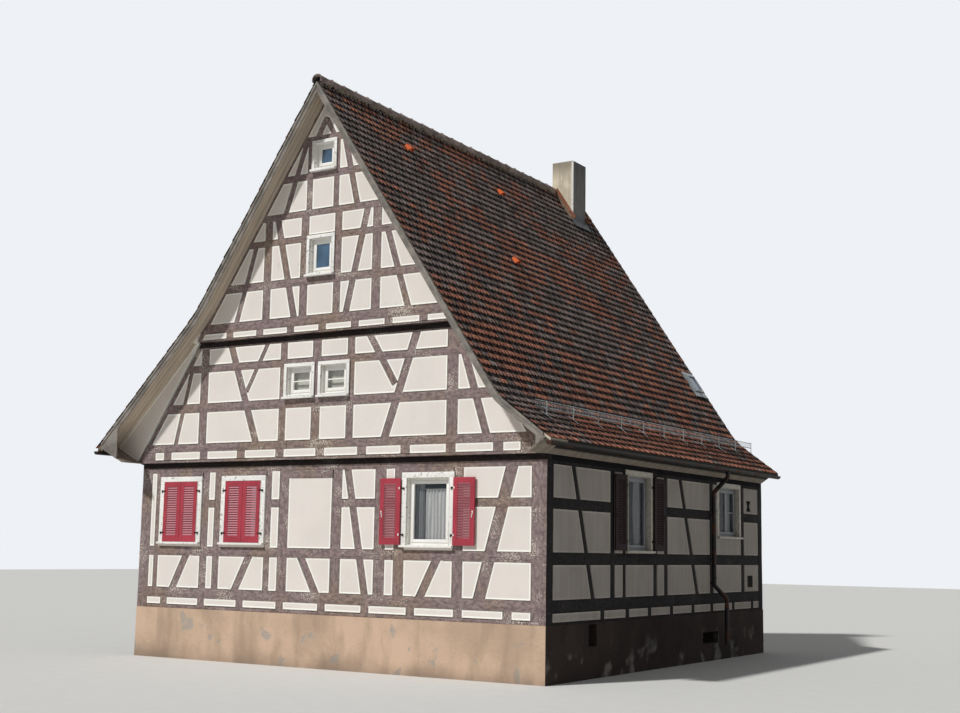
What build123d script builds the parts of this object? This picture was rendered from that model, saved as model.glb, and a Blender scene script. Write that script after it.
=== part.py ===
from build123d import *
from math import atan2, cos, degrees, hypot, radians, sin, tan
import os

os.makedirs("parts", exist_ok=True)

# Plan of the house, in millimetres
house_width = 9730
house_depth = 10500
wall_thickness = 180
party_wall_thickness = 250
plinth_height = 1000
plinth_thickness = 400
lower_jetty = 120
upper_jetty = 240

# Roof, as distances in or out from the side walls and heights above the plinth
main_pitch = 56.4
street_bend_height = 3973
street_bend_in = 595
street_flare_pitch = 36.8
street_eaves_reach = 435
street_bend_radius = 900
court_bend_in = 1905
court_flare_pitch = 45.2
court_eaves_reach = 740
court_bend_radius = 3000
tile_layer = 45
board_layer = 40
board_eaves_inset = 20
tile_verge_reach = 690
board_verge_reach = 630
ridge_cap_radius = 120
ridge_cap_wall = 25
ridge_cap_sink = 60

# Verge boards and eaves
barge_thickness = 25
barge_top_depth = 47
barge_width = 125
barge_foot_inset = 150
barge_foot_from = 135
barge_strip = 45
barge_strip_thickness = 18
soffit_thickness = 22
soffit_inset = 110
soffit_ledge = 80

# Gutters and downpipes
gutter_radius = 70
gutter_wall = 4
gutter_inset = 25
gutter_drop = 90
gutter_verge_gap = 20
gutter_hook_width = 30
gutter_hook_spacing = 1100
downpipe_radius = 45
downpipe_wall = 3
downpipe_post_shift = 40
downpipe_neck = 120
downpipe_wall_gap = 35
downpipe_shift_top = 600
downpipe_shift = 280
downpipe_foot = -640
downpipe_bend_radius = 70
downpipe_clips = [650, 1140, 2100]
clip_height = 30
clip_width = 60

# Timber levels of the ground storey, above the plinth
ground_sill_top = 80
ground_sole = (210, 420)
ground_sill_rail = (1060, 1250)
ground_head_rail = (2030, 2190)
ground_plate_bottom = 2740
ground_top = 2950

# Timber levels of the street side
street_sill_top = 50
street_sole = (200, 430)
street_sill_rail = (1030, 1250)
street_head_rail = (2000, 2200)
street_plate_bottom = 2780

# Timber levels of the gable above
lower_under_beam_top = 3010
lower_sole = (3160, 3330)
lower_rails = [(3960, 4150), (4780, 4940)]
lower_block_length = 465
lower_plate_bottom = 5260
lower_top = 5400
upper_under_beam_top = 5440
upper_sole = (5550, 5750)
upper_rails = [(6350, 6520), (7220, 7360)]
rafter_depth = 150

# Timbers under the ridge, as depths below it
collar_depths = (2670, 2530)
top_rail_depths = [(1930, 1780), (1200, 1040)]

# Floors
floor_board = 30
joist_width = 190
ground_block_spacing = 1025
ground_joist_places = [2130, 3180, 4180, 5235, 6330, 7355, 8600, 9770]
ground_joist_width = 170
lower_joist_spacing = 1000
lower_joist_shift = -55
lower_joist_width = 215
upper_joist_spacing = 790
top_joist_spacing = 600
floor_roof_gap = 30
floor_gap = 0.3

# Plaster and trim
plaster_proud = 6
plaster_thickness = 140
surround_proud = 20
surround_width = 112
surround_head = 100
attic_surround = 70
sill_board_height = 40
sill_board_proud = 80
lining_thickness = 12
lining_inset = 5
sash_recess = 82
sash_frame_width = 50
sash_frame_thickness = 70
casement_width = 62
casement_thickness = 50
casement_proud = 12
mullion_width = 90
sash_gap = 0.3
pane_recess = 16
pane_thickness = 20

# Shutters
shutter_thickness = 30
shutter_gap = 5
shutter_stile = 95
shutter_top_rail = 100
shutter_foot_rail = 130
shutter_field_depth = 9
hinge_reach = 61
hinge_proud = 32
hinge_pin_radius = 5
hinge_knuckle_radius = 9
hinge_pin_clearance = 0.4
hinge_height = 40
hinge_inset = 190
hinge_arm = 11
hinge_arm_gap = 1
strap_thickness = 6
strap_length = 260

# Chimney and roof window
chimney_party_gap = 610
chimney_depth = 690
chimney_left = -35
chimney_width = 590
chimney_top = 11100
chimney_wall = 120
flue_foot = 300
roof_clearance = 0.3
skylight_bend_gap = 910
skylight_back = 525
skylight_width = 480
skylight_length = 500
skylight_frame = 50
skylight_proud = 60
skylight_pane_depth = 25

# Snow guard on the street slope
guard_wall_gap = 165
guard_height = 250
guard_rail = 12
guard_rail_heights = [120, 230]
guard_foot = 200
guard_strip = 6
guard_bracket_width = 30
guard_bracket_first = 250
guard_bracket_spacing = 1000
guard_end = 400

# Far bays of the side walls, as distances from the back
far_post_back = 3130
last_post_back = 1290
far_window_back = 2120
vent_window_back = 890
far_plinth_opening_back = 3205

half_width = house_width / 2
far_post = house_depth - far_post_back
last_post = house_depth - last_post_back
vent = house_depth - vent_window_back

# Openings in the plinth and vents in the side walls, as centre, width, bottom and top
plinth_openings = [(1760, 300, -430, -30), (house_depth - far_plinth_opening_back, 850, -640, -390)]
wall_vents = [(vent, 300, 2250, 2500), (vent + 55, 370, 520, 790)]

street_bend_out = half_width - street_bend_in
street_eaves_out = half_width + street_eaves_reach
court_bend_out = half_width - court_bend_in
court_eaves_out = half_width + court_eaves_reach
ridge_height = street_bend_height + street_bend_out * tan(radians(main_pitch))
collar = tuple(ridge_height - depth for depth in collar_depths)
top_rails = [(ridge_height - low, ridge_height - high) for low, high in top_rail_depths]

# Windows, each as centre, width, bottom and top of its clear opening
gable_windows = [(-3740, 930, 1335, 2565), (-2055, 930, 1335, 2565), (2390, 930, 1335, 2565)]
lower_windows = [(-625, 620, 4210, 4770), (225, 620, 4210, 4770)]
upper_windows = [(-100, 550, 6580, 7270), (-80, 480, ridge_height - 1710, ridge_height - 1210)]
street_windows = [(3700, 1010, 1300, 2750), (house_depth - far_window_back, 1180, 1650, 2740)]
two_light_windows = street_windows[1:]

gutter_reach = gutter_radius - gutter_inset
street_reach = street_eaves_out + gutter_reach
court_reach = court_eaves_out + gutter_reach
ridge_x = (court_reach - street_reach) / 2
gable_y = -(house_depth - tile_verge_reach) / 2
deck = tile_layer + board_layer
whole = 2 * house_width
centre_plane = Plane.YZ.offset(ridge_x)


def gable_plane(back):
    """Upright plane that faces the front, a distance behind the ground storey's gable."""
    return Plane(origin=(ridge_x, gable_y + back, plinth_height), x_dir=(1, 0, 0), z_dir=(0, -1, 0))


def street_plane(out):
    """Upright plane that faces the street, a distance outside the street wall."""
    origin = (ridge_x + half_width + out, gable_y, plinth_height)
    return Plane(origin=origin, x_dir=(0, 1, 0), z_dir=(1, 0, 0))


def level_plane(height):
    """Level plane at a height above the plinth, with the depth of the house as its Y."""
    return Plane(origin=(ridge_x, gable_y, plinth_height + height))


def save(piece, name):
    piece.part.label = name
    export_step(piece.part, f"parts/{name}.step")


# Faces of single timbers and openings, to be added together


def rail(levels, start, end):
    """Level timber between two heights."""
    bottom, top = levels
    with Locations(((start + end) / 2, (bottom + top) / 2)):
        return Rectangle(end - start, top - bottom, mode=Mode.PRIVATE)


def post(centre, width, bottom, top):
    """Upright timber."""
    return rail((bottom, top), centre - width / 2, centre + width / 2)


def brace(foot, head, width):
    """Slanting timber between two points on its centre line, let into its neighbours."""
    length = hypot(head[0] - foot[0], head[1] - foot[1])
    turn = degrees(atan2(head[1] - foot[1], head[0] - foot[0]))
    middle = ((foot[0] + head[0]) / 2, (foot[1] + head[1]) / 2, 0)
    with Locations(Location(middle, (0, 0, turn))):
        return Rectangle(length + width / 2, width, mode=Mode.PRIVATE)


def opening(window, grow=0):
    """Clear opening of a window, given as centre, width, bottom and top."""
    centre, width, bottom, top = window
    return post(centre, width + 2 * grow, bottom - grow, top + grow)


def surround(window, side, head, sill):
    """Outline of the boards round a window."""
    centre, width, bottom, top = window
    return post(centre, width + 2 * side, bottom - sill, top + head)


# Roof profile


class Slope:
    """One side of the roof: a steep main plane that flattens over the eaves."""

    def __init__(self, side, bend_out, flare_pitch, eaves_out, radius):
        self.side = side
        self.bend_out = bend_out
        self.flare = tan(radians(flare_pitch))
        self.flare_cos = cos(radians(flare_pitch))
        self.eaves_out = eaves_out
        self.radius = radius

    def bend(self, depth):
        """Where the two planes meet, a depth under the tiles' surface."""
        steep = tan(radians(main_pitch))
        shift = depth * (1 / cos(radians(main_pitch)) - 1 / self.flare_cos) / (steep - self.flare)
        out = self.bend_out - shift
        return out, ridge_at(depth) - out * steep

    def height(self, out, depth):
        """Height of the flatter plane over the eaves."""
        bend_out, bend_height = self.bend(depth)
        return bend_height - (out - bend_out) * self.flare

    def points(self, depth, inset):
        """Ridge, bend and eaves in the gable's own plane."""
        out, height = self.bend(depth)
        edge = self.eaves_out - inset
        ridge = (0, ridge_at(depth))
        return [ridge, (self.side * out, height), (self.side * edge, self.height(edge, depth))]

    def gutter_centre(self):
        """Middle of the gutter's rim."""
        out = self.eaves_out + gutter_reach - gutter_radius
        return out, self.height(self.eaves_out, 0) - gutter_drop


def ridge_at(depth):
    return ridge_height - depth / cos(radians(main_pitch))


def main_out(height, depth):
    """Distance from the ridge line where the main plane reaches a height."""
    return (ridge_at(depth) - height) / tan(radians(main_pitch))


street = Slope(1, street_bend_out, street_flare_pitch, street_eaves_out, street_bend_radius)
court = Slope(-1, court_bend_out, court_flare_pitch, court_eaves_out, court_bend_radius)
slopes = [street, court]


def roof_band(slope, top_depth, bottom_depth, inset):
    """Band between two depths under the tiles, from the ridge to the eaves."""
    with BuildLine() as outline:
        upper = FilletPolyline(*slope.points(top_depth, inset), radius=slope.radius + top_depth)
        lower = FilletPolyline(*slope.points(bottom_depth, inset), radius=slope.radius + bottom_depth)
        Line(upper @ 0, lower @ 0)
        Line(upper @ 1, lower @ 1)
    make_face(outline.edges())


def soffit_end(slope):
    """Outer end of the sloping board under the eaves."""
    out = slope.eaves_out - soffit_inset
    return out, slope.height(out, deck)


def eaves_triangle(slope, start):
    """Space between the eaves board's underside and the roof boards, beyond a distance out."""
    out, height = soffit_end(slope)
    rise = (height - ground_top) / (out - half_width)
    low = (slope.side * start, ground_top + (start - half_width) * rise)
    high = (slope.side * start, slope.height(start, deck))
    return Polygon(low, (slope.side * out, height), high, align=None, mode=Mode.PRIVATE)


with BuildSketch() as soffit_boards:
    for slope in slopes:
        out, height = soffit_end(slope)
        foot = (slope.side * half_width, ground_top)
        turn = degrees(atan2(height - ground_top, slope.side * (out - half_width)))
        length = 2 * hypot(out - half_width, height - ground_top)
        with Locations(Location((*foot, 0), (0, 0, turn))):
            strip = Rectangle(length, 2 * soffit_thickness, mode=Mode.PRIVATE)
        with BuildSketch(mode=Mode.PRIVATE) as board:
            add(eaves_triangle(slope, half_width))
            add(strip, mode=Mode.INTERSECT)
            ledge = sorted((slope.side * half_width, slope.side * (half_width - soffit_ledge)))
            add(rail((ground_top, ground_top + soffit_thickness), *ledge))
        add(board.sketch)

with BuildSketch() as wall_outline:
    with BuildLine():
        right = FilletPolyline(*street.points(deck, soffit_inset), radius=street.radius + deck)
        left = FilletPolyline(*court.points(deck, soffit_inset), radius=court.radius + deck)
        Polyline(right @ 1, (half_width, ground_top), (-half_width, ground_top), left @ 1)
    make_face()
    add(soffit_boards.sketch, mode=Mode.SUBTRACT)

with BuildSketch() as rafters:
    for slope in slopes:
        outer = (slope.side * main_out(ground_top, 0), ground_top)
        inner = (slope.side * main_out(ground_top, rafter_depth), ground_top)
        apex = (0, ridge_at(rafter_depth))
        add(Polygon((0, ridge_height), outer, inner, apex, align=None, mode=Mode.PRIVATE))

with BuildSketch() as between_rafters:
    foot = main_out(ground_top, rafter_depth)
    Polygon((0, ridge_at(rafter_depth)), (foot, ground_top), (-foot, ground_top), align=None)

# Ground storey of the gable, as distances from its middle
corner_post = 300
window_post = 485
gable_posts = [(window_post - half_width, 130), (-3065, 200), (-2725, 180), (-1395, 160), (-1000, 250)]
gable_posts += [(300, 250), (1325, 260), (1765, 240), (3050, 230)]
gable_head_rails = [(-2965, -2815), (-1315, -1125), (425, 1195), (1455, 1645)]
gable_head_rails.append((3165, half_width - corner_post))
gable_low_braces = [(-165, -520), (2260, 2590), (-3870, -3540), (-2185, -1855)]
low_brace_width = 180
gable_tall_braces = [(1010, 550, 167), (3520, 4165, 250)]

with BuildSketch() as gable_ground_timbers:
    timbers = [rail((0, ground_sill_top), -half_width, half_width)]
    timbers.append(rail(ground_sole, -half_width, half_width))
    timbers.append(rail(ground_sill_rail, -half_width, half_width))
    timbers.append(rail((ground_plate_bottom, ground_top), -half_width, half_width))
    for side in (-1, 1):
        timbers.append(post(side * (half_width - corner_post / 2), corner_post, 0, ground_top))
    for centre, width in gable_posts:
        timbers.append(post(centre, width, ground_sole[0], ground_top))
    for start, end in gable_head_rails:
        timbers.append(rail(ground_head_rail, start, end))
    for foot, head in gable_low_braces:
        ends = (foot, ground_sole[1]), (head, ground_sill_rail[0])
        timbers.append(brace(*ends, low_brace_width))
    for foot, head, width in gable_tall_braces:
        timbers.append(brace((foot, ground_sole[1]), (head, ground_plate_bottom), width))
    for step in range(-4, 5):
        centre = step * ground_block_spacing
        timbers.append(post(centre, joist_width, ground_sill_top, ground_sole[0]))
    add(timbers)
    add([opening(window) for window in gable_windows], mode=Mode.SUBTRACT)

# Street side, as distances from the gable
end_bay_post = 220
street_posts = [(2550, 210), (3050, 160), (4450, 200), (4965, 190)]
street_posts += [(far_post, end_bay_post), (last_post, end_bay_post)]
street_corner = 250
street_end_post = 320
street_head_rails = [(street_corner, 2450), (5060, far_post - end_bay_post / 2)]
street_head_rails.append((last_post + end_bay_post / 2, house_depth - street_end_post))
street_near_brace = (1755, 985, 170)
street_far_brace = (far_post - 805, far_post - 1665, 190)
ground_joists = [at for at in ground_joist_places if at < house_depth - street_end_post]

with BuildSketch() as street_timbers:
    timbers = [rail((0, street_sill_top), wall_thickness, house_depth)]
    timbers.append(rail(street_sole, wall_thickness, house_depth))
    timbers.append(rail(street_sill_rail, wall_thickness, house_depth))
    timbers.append(rail((street_plate_bottom, ground_top), wall_thickness, house_depth))
    timbers.append(rail((0, ground_top), wall_thickness, street_corner))
    timbers.append(rail((0, ground_top), house_depth - street_end_post, house_depth))
    for centre, width in street_posts:
        timbers.append(post(centre, width, street_sole[0], ground_top))
    for start, end in street_head_rails:
        timbers.append(rail(street_head_rail, start, end))
    for foot, head, width in (street_near_brace, street_far_brace):
        timbers.append(brace((foot, street_sole[1]), (head, street_plate_bottom), width))
    add(timbers)
    add([opening(window) for window in street_windows], mode=Mode.SUBTRACT)

# Lower attic of the gable
lower_posts = [(-3115, 220), (-1025, 180), (-195, 220), (635, 180), (2960, 250)]
lower_joist_centres = [lower_joist_shift + step * lower_joist_spacing for step in range(-4, 5)]
lower_block_from = half_width - lower_block_length
lower_full_braces = [(-1685, -2405, 170), (1475, 2145, 180)]
lower_half_braces = [(-1960, -1465, 105, 200), (1660, 1085, 150, 190)]
lower_left_brace = (-3845, -3490, 115)
lower_right_brace = (3690, 3150, 160)
lower_right_brace_rise = 60


def lower_joist_ends():
    levels = lower_under_beam_top, lower_sole[0]
    return [post(centre, lower_joist_width, *levels) for centre in lower_joist_centres]


with BuildSketch() as lower_timbers:
    timbers = [rail((ground_top, lower_under_beam_top), -half_width, half_width)]
    timbers.append(rail(lower_sole, -half_width, half_width))
    for levels in lower_rails:
        timbers.append(rail(levels, -half_width, half_width))
    timbers.append(rail((lower_plate_bottom, lower_top), -half_width, half_width))
    row = lower_under_beam_top, lower_sole[0]
    timbers.append(rail(row, -half_width, -lower_block_from))
    timbers.append(rail(row, lower_block_from, half_width))
    for centre, width in lower_posts:
        timbers.append(post(centre, width, lower_sole[0], lower_top))
    foot, head = lower_sole[1], lower_plate_bottom
    for at, to, width in lower_full_braces:
        timbers.append(brace((at, foot), (to, head), width))
    for at, to, width, rise in lower_half_braces:
        timbers.append(brace((at, lower_rails[0][1] + rise), (to, head), width))
    at, to, width = lower_left_brace
    timbers.append(brace((at, foot), (to, lower_rails[1][0]), width))
    at, to, width = lower_right_brace
    timbers.append(brace((at, foot), (to, lower_rails[1][1] + lower_right_brace_rise), width))
    add(timbers)
    add(between_rafters.sketch, mode=Mode.INTERSECT)
    add(rafters.sketch)
    add(wall_outline.sketch, mode=Mode.INTERSECT)
    add(rail((0, lower_top), -whole, whole), mode=Mode.INTERSECT)
    add([opening(window) for window in lower_windows] + lower_joist_ends(), mode=Mode.SUBTRACT)

# Upper attics of the gable
upper_posts = [(-1435, 200), (-500, 200), (325, 180), (1260, 210)]
top_posts = [(-420, 150), (245, 140)]
upper_tall_braces = [(-720, -1205, 160), (565, 1020, 155)]
upper_short_braces = [(-2200, -1765, 130), (2010, 1525, 140)]
top_braces = [(-1010, -555, 140), (760, 435, 140)]
peak_braces = [(-240, -65, 150, 320), (130, -25, 120, 280)]
upper_joist_centres = [step * upper_joist_spacing for step in range(-3, 4)]
top_joist_centres = [step * top_joist_spacing for step in range(-2, 3)]


def upper_joist_ends():
    levels = upper_under_beam_top, upper_sole[0]
    return [post(centre, joist_width, *levels) for centre in upper_joist_centres]


with BuildSketch() as upper_timbers:
    timbers = [rail((lower_top, upper_under_beam_top), -half_width, half_width)]
    timbers.append(rail(upper_sole, -half_width, half_width))
    timbers.append(rail(collar, -half_width, half_width))
    for levels in upper_rails + top_rails:
        timbers.append(rail(levels, -half_width, half_width))
    for centre, width in upper_posts:
        timbers.append(post(centre, width, upper_sole[0], collar[1]))
    for centre, width in top_posts:
        timbers.append(post(centre, width, collar[1], top_rails[1][0]))
    for foot, head, width in upper_tall_braces:
        timbers.append(brace((foot, upper_sole[1]), (head, collar[0]), width))
    for foot, head, width in upper_short_braces:
        timbers.append(brace((foot, upper_sole[1]), (head, upper_rails[1][0]), width))
    for foot, head, width in top_braces:
        timbers.append(brace((foot, collar[1]), (head, top_rails[1][0]), width))
    for foot, head, width, rise in peak_braces:
        timbers.append(brace((foot, top_rails[1][1]), (head, top_rails[1][1] + rise), width))
    add(timbers)
    add(between_rafters.sketch, mode=Mode.INTERSECT)
    add(rafters.sketch)
    add(wall_outline.sketch, mode=Mode.INTERSECT)
    add(rail((lower_top, ridge_height), -whole, whole), mode=Mode.INTERSECT)
    add([opening(window) for window in upper_windows] + upper_joist_ends(), mode=Mode.SUBTRACT)

# Wall frames

with BuildPart() as gable_frame_ground:
    with BuildSketch(gable_plane(0)):
        add(gable_ground_timbers.sketch)
    extrude(amount=-wall_thickness)
save(gable_frame_ground, "gable_frame_ground")

with BuildPart() as gable_frame_lower:
    with BuildSketch(gable_plane(-lower_jetty)):
        add(lower_timbers.sketch)
    extrude(amount=-wall_thickness)
save(gable_frame_lower, "gable_frame_lower")

with BuildPart() as gable_frame_upper:
    with BuildSketch(gable_plane(-upper_jetty)):
        add(upper_timbers.sketch)
    extrude(amount=-wall_thickness)
save(gable_frame_upper, "gable_frame_upper")

with BuildPart() as street_frame:
    with BuildSketch(street_plane(0)):
        add(street_timbers.sketch)
        joists = [post(at, ground_joist_width, street_sill_top, street_sole[0]) for at in ground_joists]
        add(joists, mode=Mode.SUBTRACT)
    extrude(amount=-wall_thickness)
save(street_frame, "street_frame")

with BuildPart() as court_frame:
    add(mirror(street_frame.part, about=centre_plane, mode=Mode.PRIVATE))
save(court_frame, "court_frame")

# Plaster panels between the timbers

with BuildPart() as gable_infill_ground:
    with BuildSketch(gable_plane(-plaster_proud)):
        add(rail((0, ground_top), -half_width, half_width))
        add(gable_ground_timbers.sketch, mode=Mode.SUBTRACT)
        add([opening(window) for window in gable_windows], mode=Mode.SUBTRACT)
    extrude(amount=-plaster_thickness)
    with BuildSketch(gable_plane(0)):
        boards = (surround_width, surround_head, sill_board_height)
        add([surround(window, *boards) for window in gable_windows])
    extrude(amount=plaster_proud, mode=Mode.SUBTRACT)
save(gable_infill_ground, "gable_infill_ground")

with BuildPart() as gable_infill_lower:
    with BuildSketch(gable_plane(-lower_jetty - plaster_proud)):
        add(rail((0, lower_top), -whole, whole))
        add(wall_outline.sketch, mode=Mode.INTERSECT)
        add(lower_timbers.sketch, mode=Mode.SUBTRACT)
        add([opening(window) for window in lower_windows] + lower_joist_ends(), mode=Mode.SUBTRACT)
    extrude(amount=-plaster_thickness)
    with BuildSketch(gable_plane(-lower_jetty)):
        add([opening(window, attic_surround) for window in lower_windows])
    extrude(amount=plaster_proud, mode=Mode.SUBTRACT)
save(gable_infill_lower, "gable_infill_lower")

with BuildPart() as gable_infill_upper:
    with BuildSketch(gable_plane(-upper_jetty - plaster_proud)):
        add(rail((lower_top, ridge_height), -whole, whole))
        add(wall_outline.sketch, mode=Mode.INTERSECT)
        add(upper_timbers.sketch, mode=Mode.SUBTRACT)
        add([opening(window) for window in upper_windows] + upper_joist_ends(), mode=Mode.SUBTRACT)
    extrude(amount=-plaster_thickness)
    with BuildSketch(gable_plane(-upper_jetty)):
        add([opening(window, attic_surround) for window in upper_windows])
    extrude(amount=plaster_proud, mode=Mode.SUBTRACT)
save(gable_infill_upper, "gable_infill_upper")

with BuildPart() as street_infill:
    with BuildSketch(street_plane(plaster_proud)):
        add(rail((0, ground_top), wall_thickness, house_depth))
        add(street_timbers.sketch, mode=Mode.SUBTRACT)
        joists = [post(at, ground_joist_width, street_sill_top, street_sole[0]) for at in ground_joists]
        add([opening(hole) for hole in street_windows + wall_vents] + joists, mode=Mode.SUBTRACT)
    extrude(amount=-plaster_thickness)
    with BuildSketch(street_plane(0)):
        boards = (surround_width, surround_head, sill_board_height)
        add([surround(window, *boards) for window in street_windows])
    extrude(amount=plaster_proud, mode=Mode.SUBTRACT)
save(street_infill, "street_infill")

with BuildPart() as court_infill:
    add(mirror(street_infill.part, about=centre_plane, mode=Mode.PRIVATE))
save(court_infill, "court_infill")

# Plinth and party wall

with BuildPart() as plinth:
    with BuildSketch(level_plane(-plinth_height)):
        with Locations((0, house_depth / 2)):
            Rectangle(house_width, house_depth)
        with Locations((0, house_depth / 2 + plinth_thickness)):
            Rectangle(house_width - 2 * plinth_thickness, house_depth, mode=Mode.SUBTRACT)
    extrude(amount=plinth_height)
    with BuildSketch(street_plane(0)):
        add([opening(hole) for hole in plinth_openings])
    extrude(amount=-plinth_thickness, mode=Mode.SUBTRACT)
save(plinth, "plinth")

with BuildPart() as party_wall:
    with BuildSketch(gable_plane(house_depth - party_wall_thickness)):
        inner = half_width - wall_thickness
        add(rail((0, ground_top), -inner, inner))
        inner = half_width - plinth_thickness
        add(rail((-plinth_height, 0), -inner, inner))
        add(wall_outline.sketch)
    extrude(amount=-party_wall_thickness)
save(party_wall, "party_wall")


# Floors and the chimney that passes through them


def chimney_plan(grow):
    """Outline of the chimney in plan."""
    back = house_depth - party_wall_thickness - chimney_party_gap
    centre = (chimney_left + chimney_width / 2, back - chimney_depth / 2)
    with Locations(centre):
        return Rectangle(chimney_width + 2 * grow, chimney_depth + 2 * grow, mode=Mode.PRIVATE)


def clear_chimney():
    """Takes the chimney's passage out of the piece being built."""
    with BuildSketch(level_plane(-plinth_height)) as passage:
        add(chimney_plan(roof_clearance))
    extrude(passage.sketch, amount=plinth_height + chimney_top, mode=Mode.SUBTRACT)


def floor_boards(level, reach, front):
    """Floor boards between two side walls, from the front wall back to the party wall."""
    back = house_depth - party_wall_thickness - floor_gap
    with BuildSketch(level_plane(level)) as boards:
        with Locations((0, (front + back) / 2)):
            Rectangle(2 * reach, back - front)
    extrude(boards.sketch, amount=floor_board)


def under_roof(level):
    """Half width of a floor between the rafters' inner lines."""
    return main_out(level + floor_board, rafter_depth) - floor_roof_gap


def floor_joists(centres, width, levels, front):
    """Joists from the front wall back to the party wall."""
    back = house_depth - party_wall_thickness - floor_gap
    with BuildSketch(gable_plane(front)) as ends:
        add([post(centre, width, *levels) for centre in centres])
    extrude(ends.sketch, amount=-(back - front))


with BuildPart() as floor_ground:
    floor_boards(street_sole[0], half_width - wall_thickness - floor_gap, wall_thickness + floor_gap)
    with BuildSketch(street_plane(0)):
        add([post(at, ground_joist_width, street_sill_top, street_sole[0]) for at in ground_joists])
    extrude(amount=-house_width)
    clear_chimney()
save(floor_ground, "floor_ground")

with BuildPart() as floor_attic_1:
    inner_face = wall_thickness - lower_jetty + floor_gap
    floor_boards(lower_sole[0], half_width - wall_thickness, inner_face)
    levels = (lower_under_beam_top, lower_sole[0])
    floor_joists(lower_joist_centres, lower_joist_width, levels, -lower_jetty)
    clear_chimney()
save(floor_attic_1, "floor_attic_1")

with BuildPart() as floor_attic_2:
    inner_face = wall_thickness - upper_jetty + floor_gap
    floor_boards(upper_sole[0], under_roof(upper_sole[0]), inner_face)
    levels = (upper_under_beam_top, upper_sole[0])
    floor_joists(upper_joist_centres, joist_width, levels, -upper_jetty)
    clear_chimney()
save(floor_attic_2, "floor_attic_2")

with BuildPart() as floor_attic_3:
    floor_boards(collar[1], under_roof(collar[1]), inner_face)
    floor_joists(top_joist_centres, joist_width, collar, inner_face)
    clear_chimney()
save(floor_attic_3, "floor_attic_3")

with BuildPart() as chimney:
    with BuildSketch(level_plane(-plinth_height)):
        add(chimney_plan(0))
    extrude(amount=plinth_height + chimney_top)
    with BuildSketch(level_plane(flue_foot)):
        add(chimney_plan(-chimney_wall))
    extrude(amount=chimney_top - flue_foot, mode=Mode.SUBTRACT)
save(chimney, "chimney")

# Roof

skylight_out = street_bend_out - skylight_bend_gap
skylight_at = house_depth - skylight_back
skylight_height = ridge_at(0) - skylight_out * tan(radians(main_pitch))
skylight_plane = Plane(
    origin=(ridge_x + skylight_out, gable_y + skylight_at, plinth_height + skylight_height),
    x_dir=(0, 1, 0),
    z_dir=(sin(radians(main_pitch)), 0, cos(radians(main_pitch))),
)


def clear_skylight():
    """Takes the roof window's hole out of the piece being built."""
    with BuildSketch(skylight_plane.offset(-2 * deck)) as hole:
        Rectangle(skylight_width, skylight_length)
    extrude(hole.sketch, amount=4 * deck, mode=Mode.SUBTRACT)


with BuildPart() as roof_tiles_street:
    with BuildSketch(gable_plane(-tile_verge_reach)):
        roof_band(street, 0, tile_layer, 0)
    extrude(amount=-(house_depth + tile_verge_reach))
    clear_chimney()
    clear_skylight()
save(roof_tiles_street, "roof_tiles_street")

with BuildPart() as roof_tiles_court:
    with BuildSketch(gable_plane(-tile_verge_reach)):
        roof_band(court, 0, tile_layer, 0)
    extrude(amount=-(house_depth + tile_verge_reach))
    clear_chimney()
save(roof_tiles_court, "roof_tiles_court")

with BuildPart() as roof_boards_street:
    with BuildSketch(gable_plane(-board_verge_reach)):
        roof_band(street, tile_layer, deck, board_eaves_inset)
    extrude(amount=-(house_depth + board_verge_reach))
    clear_chimney()
    clear_skylight()
save(roof_boards_street, "roof_boards_street")

with BuildPart() as roof_boards_court:
    with BuildSketch(gable_plane(-board_verge_reach)):
        roof_band(court, tile_layer, deck, board_eaves_inset)
    extrude(amount=-(house_depth + board_verge_reach))
    clear_chimney()
save(roof_boards_court, "roof_boards_court")

with BuildPart() as ridge_tiles:
    with BuildSketch(gable_plane(-tile_verge_reach)):
        with Locations((0, ridge_height - ridge_cap_sink)):
            Circle(ridge_cap_radius)
            Circle(ridge_cap_radius - ridge_cap_wall, mode=Mode.SUBTRACT)
        foot = main_out(ground_top, 0)
        Polygon((0, ridge_height), (foot, ground_top), (-foot, ground_top), align=None, mode=Mode.SUBTRACT)
    extrude(amount=-(house_depth + tile_verge_reach))
    clear_chimney()
save(ridge_tiles, "ridge_tiles")

with BuildPart() as barge_boards:
    with BuildSketch(gable_plane(-board_verge_reach)):
        for slope in slopes:
            roof_band(slope, barge_top_depth, barge_top_depth + barge_width, barge_foot_inset)
        for slope in slopes:
            add(eaves_triangle(slope, half_width + barge_foot_from))
    extrude(amount=barge_thickness)
    with BuildSketch(gable_plane(-board_verge_reach - barge_thickness)):
        for slope in slopes:
            roof_band(slope, barge_top_depth, barge_top_depth + barge_strip, barge_foot_inset)
    extrude(amount=barge_strip_thickness)
save(barge_boards, "barge_boards")

with BuildPart() as eaves_soffits:
    with BuildSketch(gable_plane(-board_verge_reach)):
        add(soffit_boards.sketch)
    extrude(amount=-(house_depth + board_verge_reach))
save(eaves_soffits, "eaves_soffits")

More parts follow.
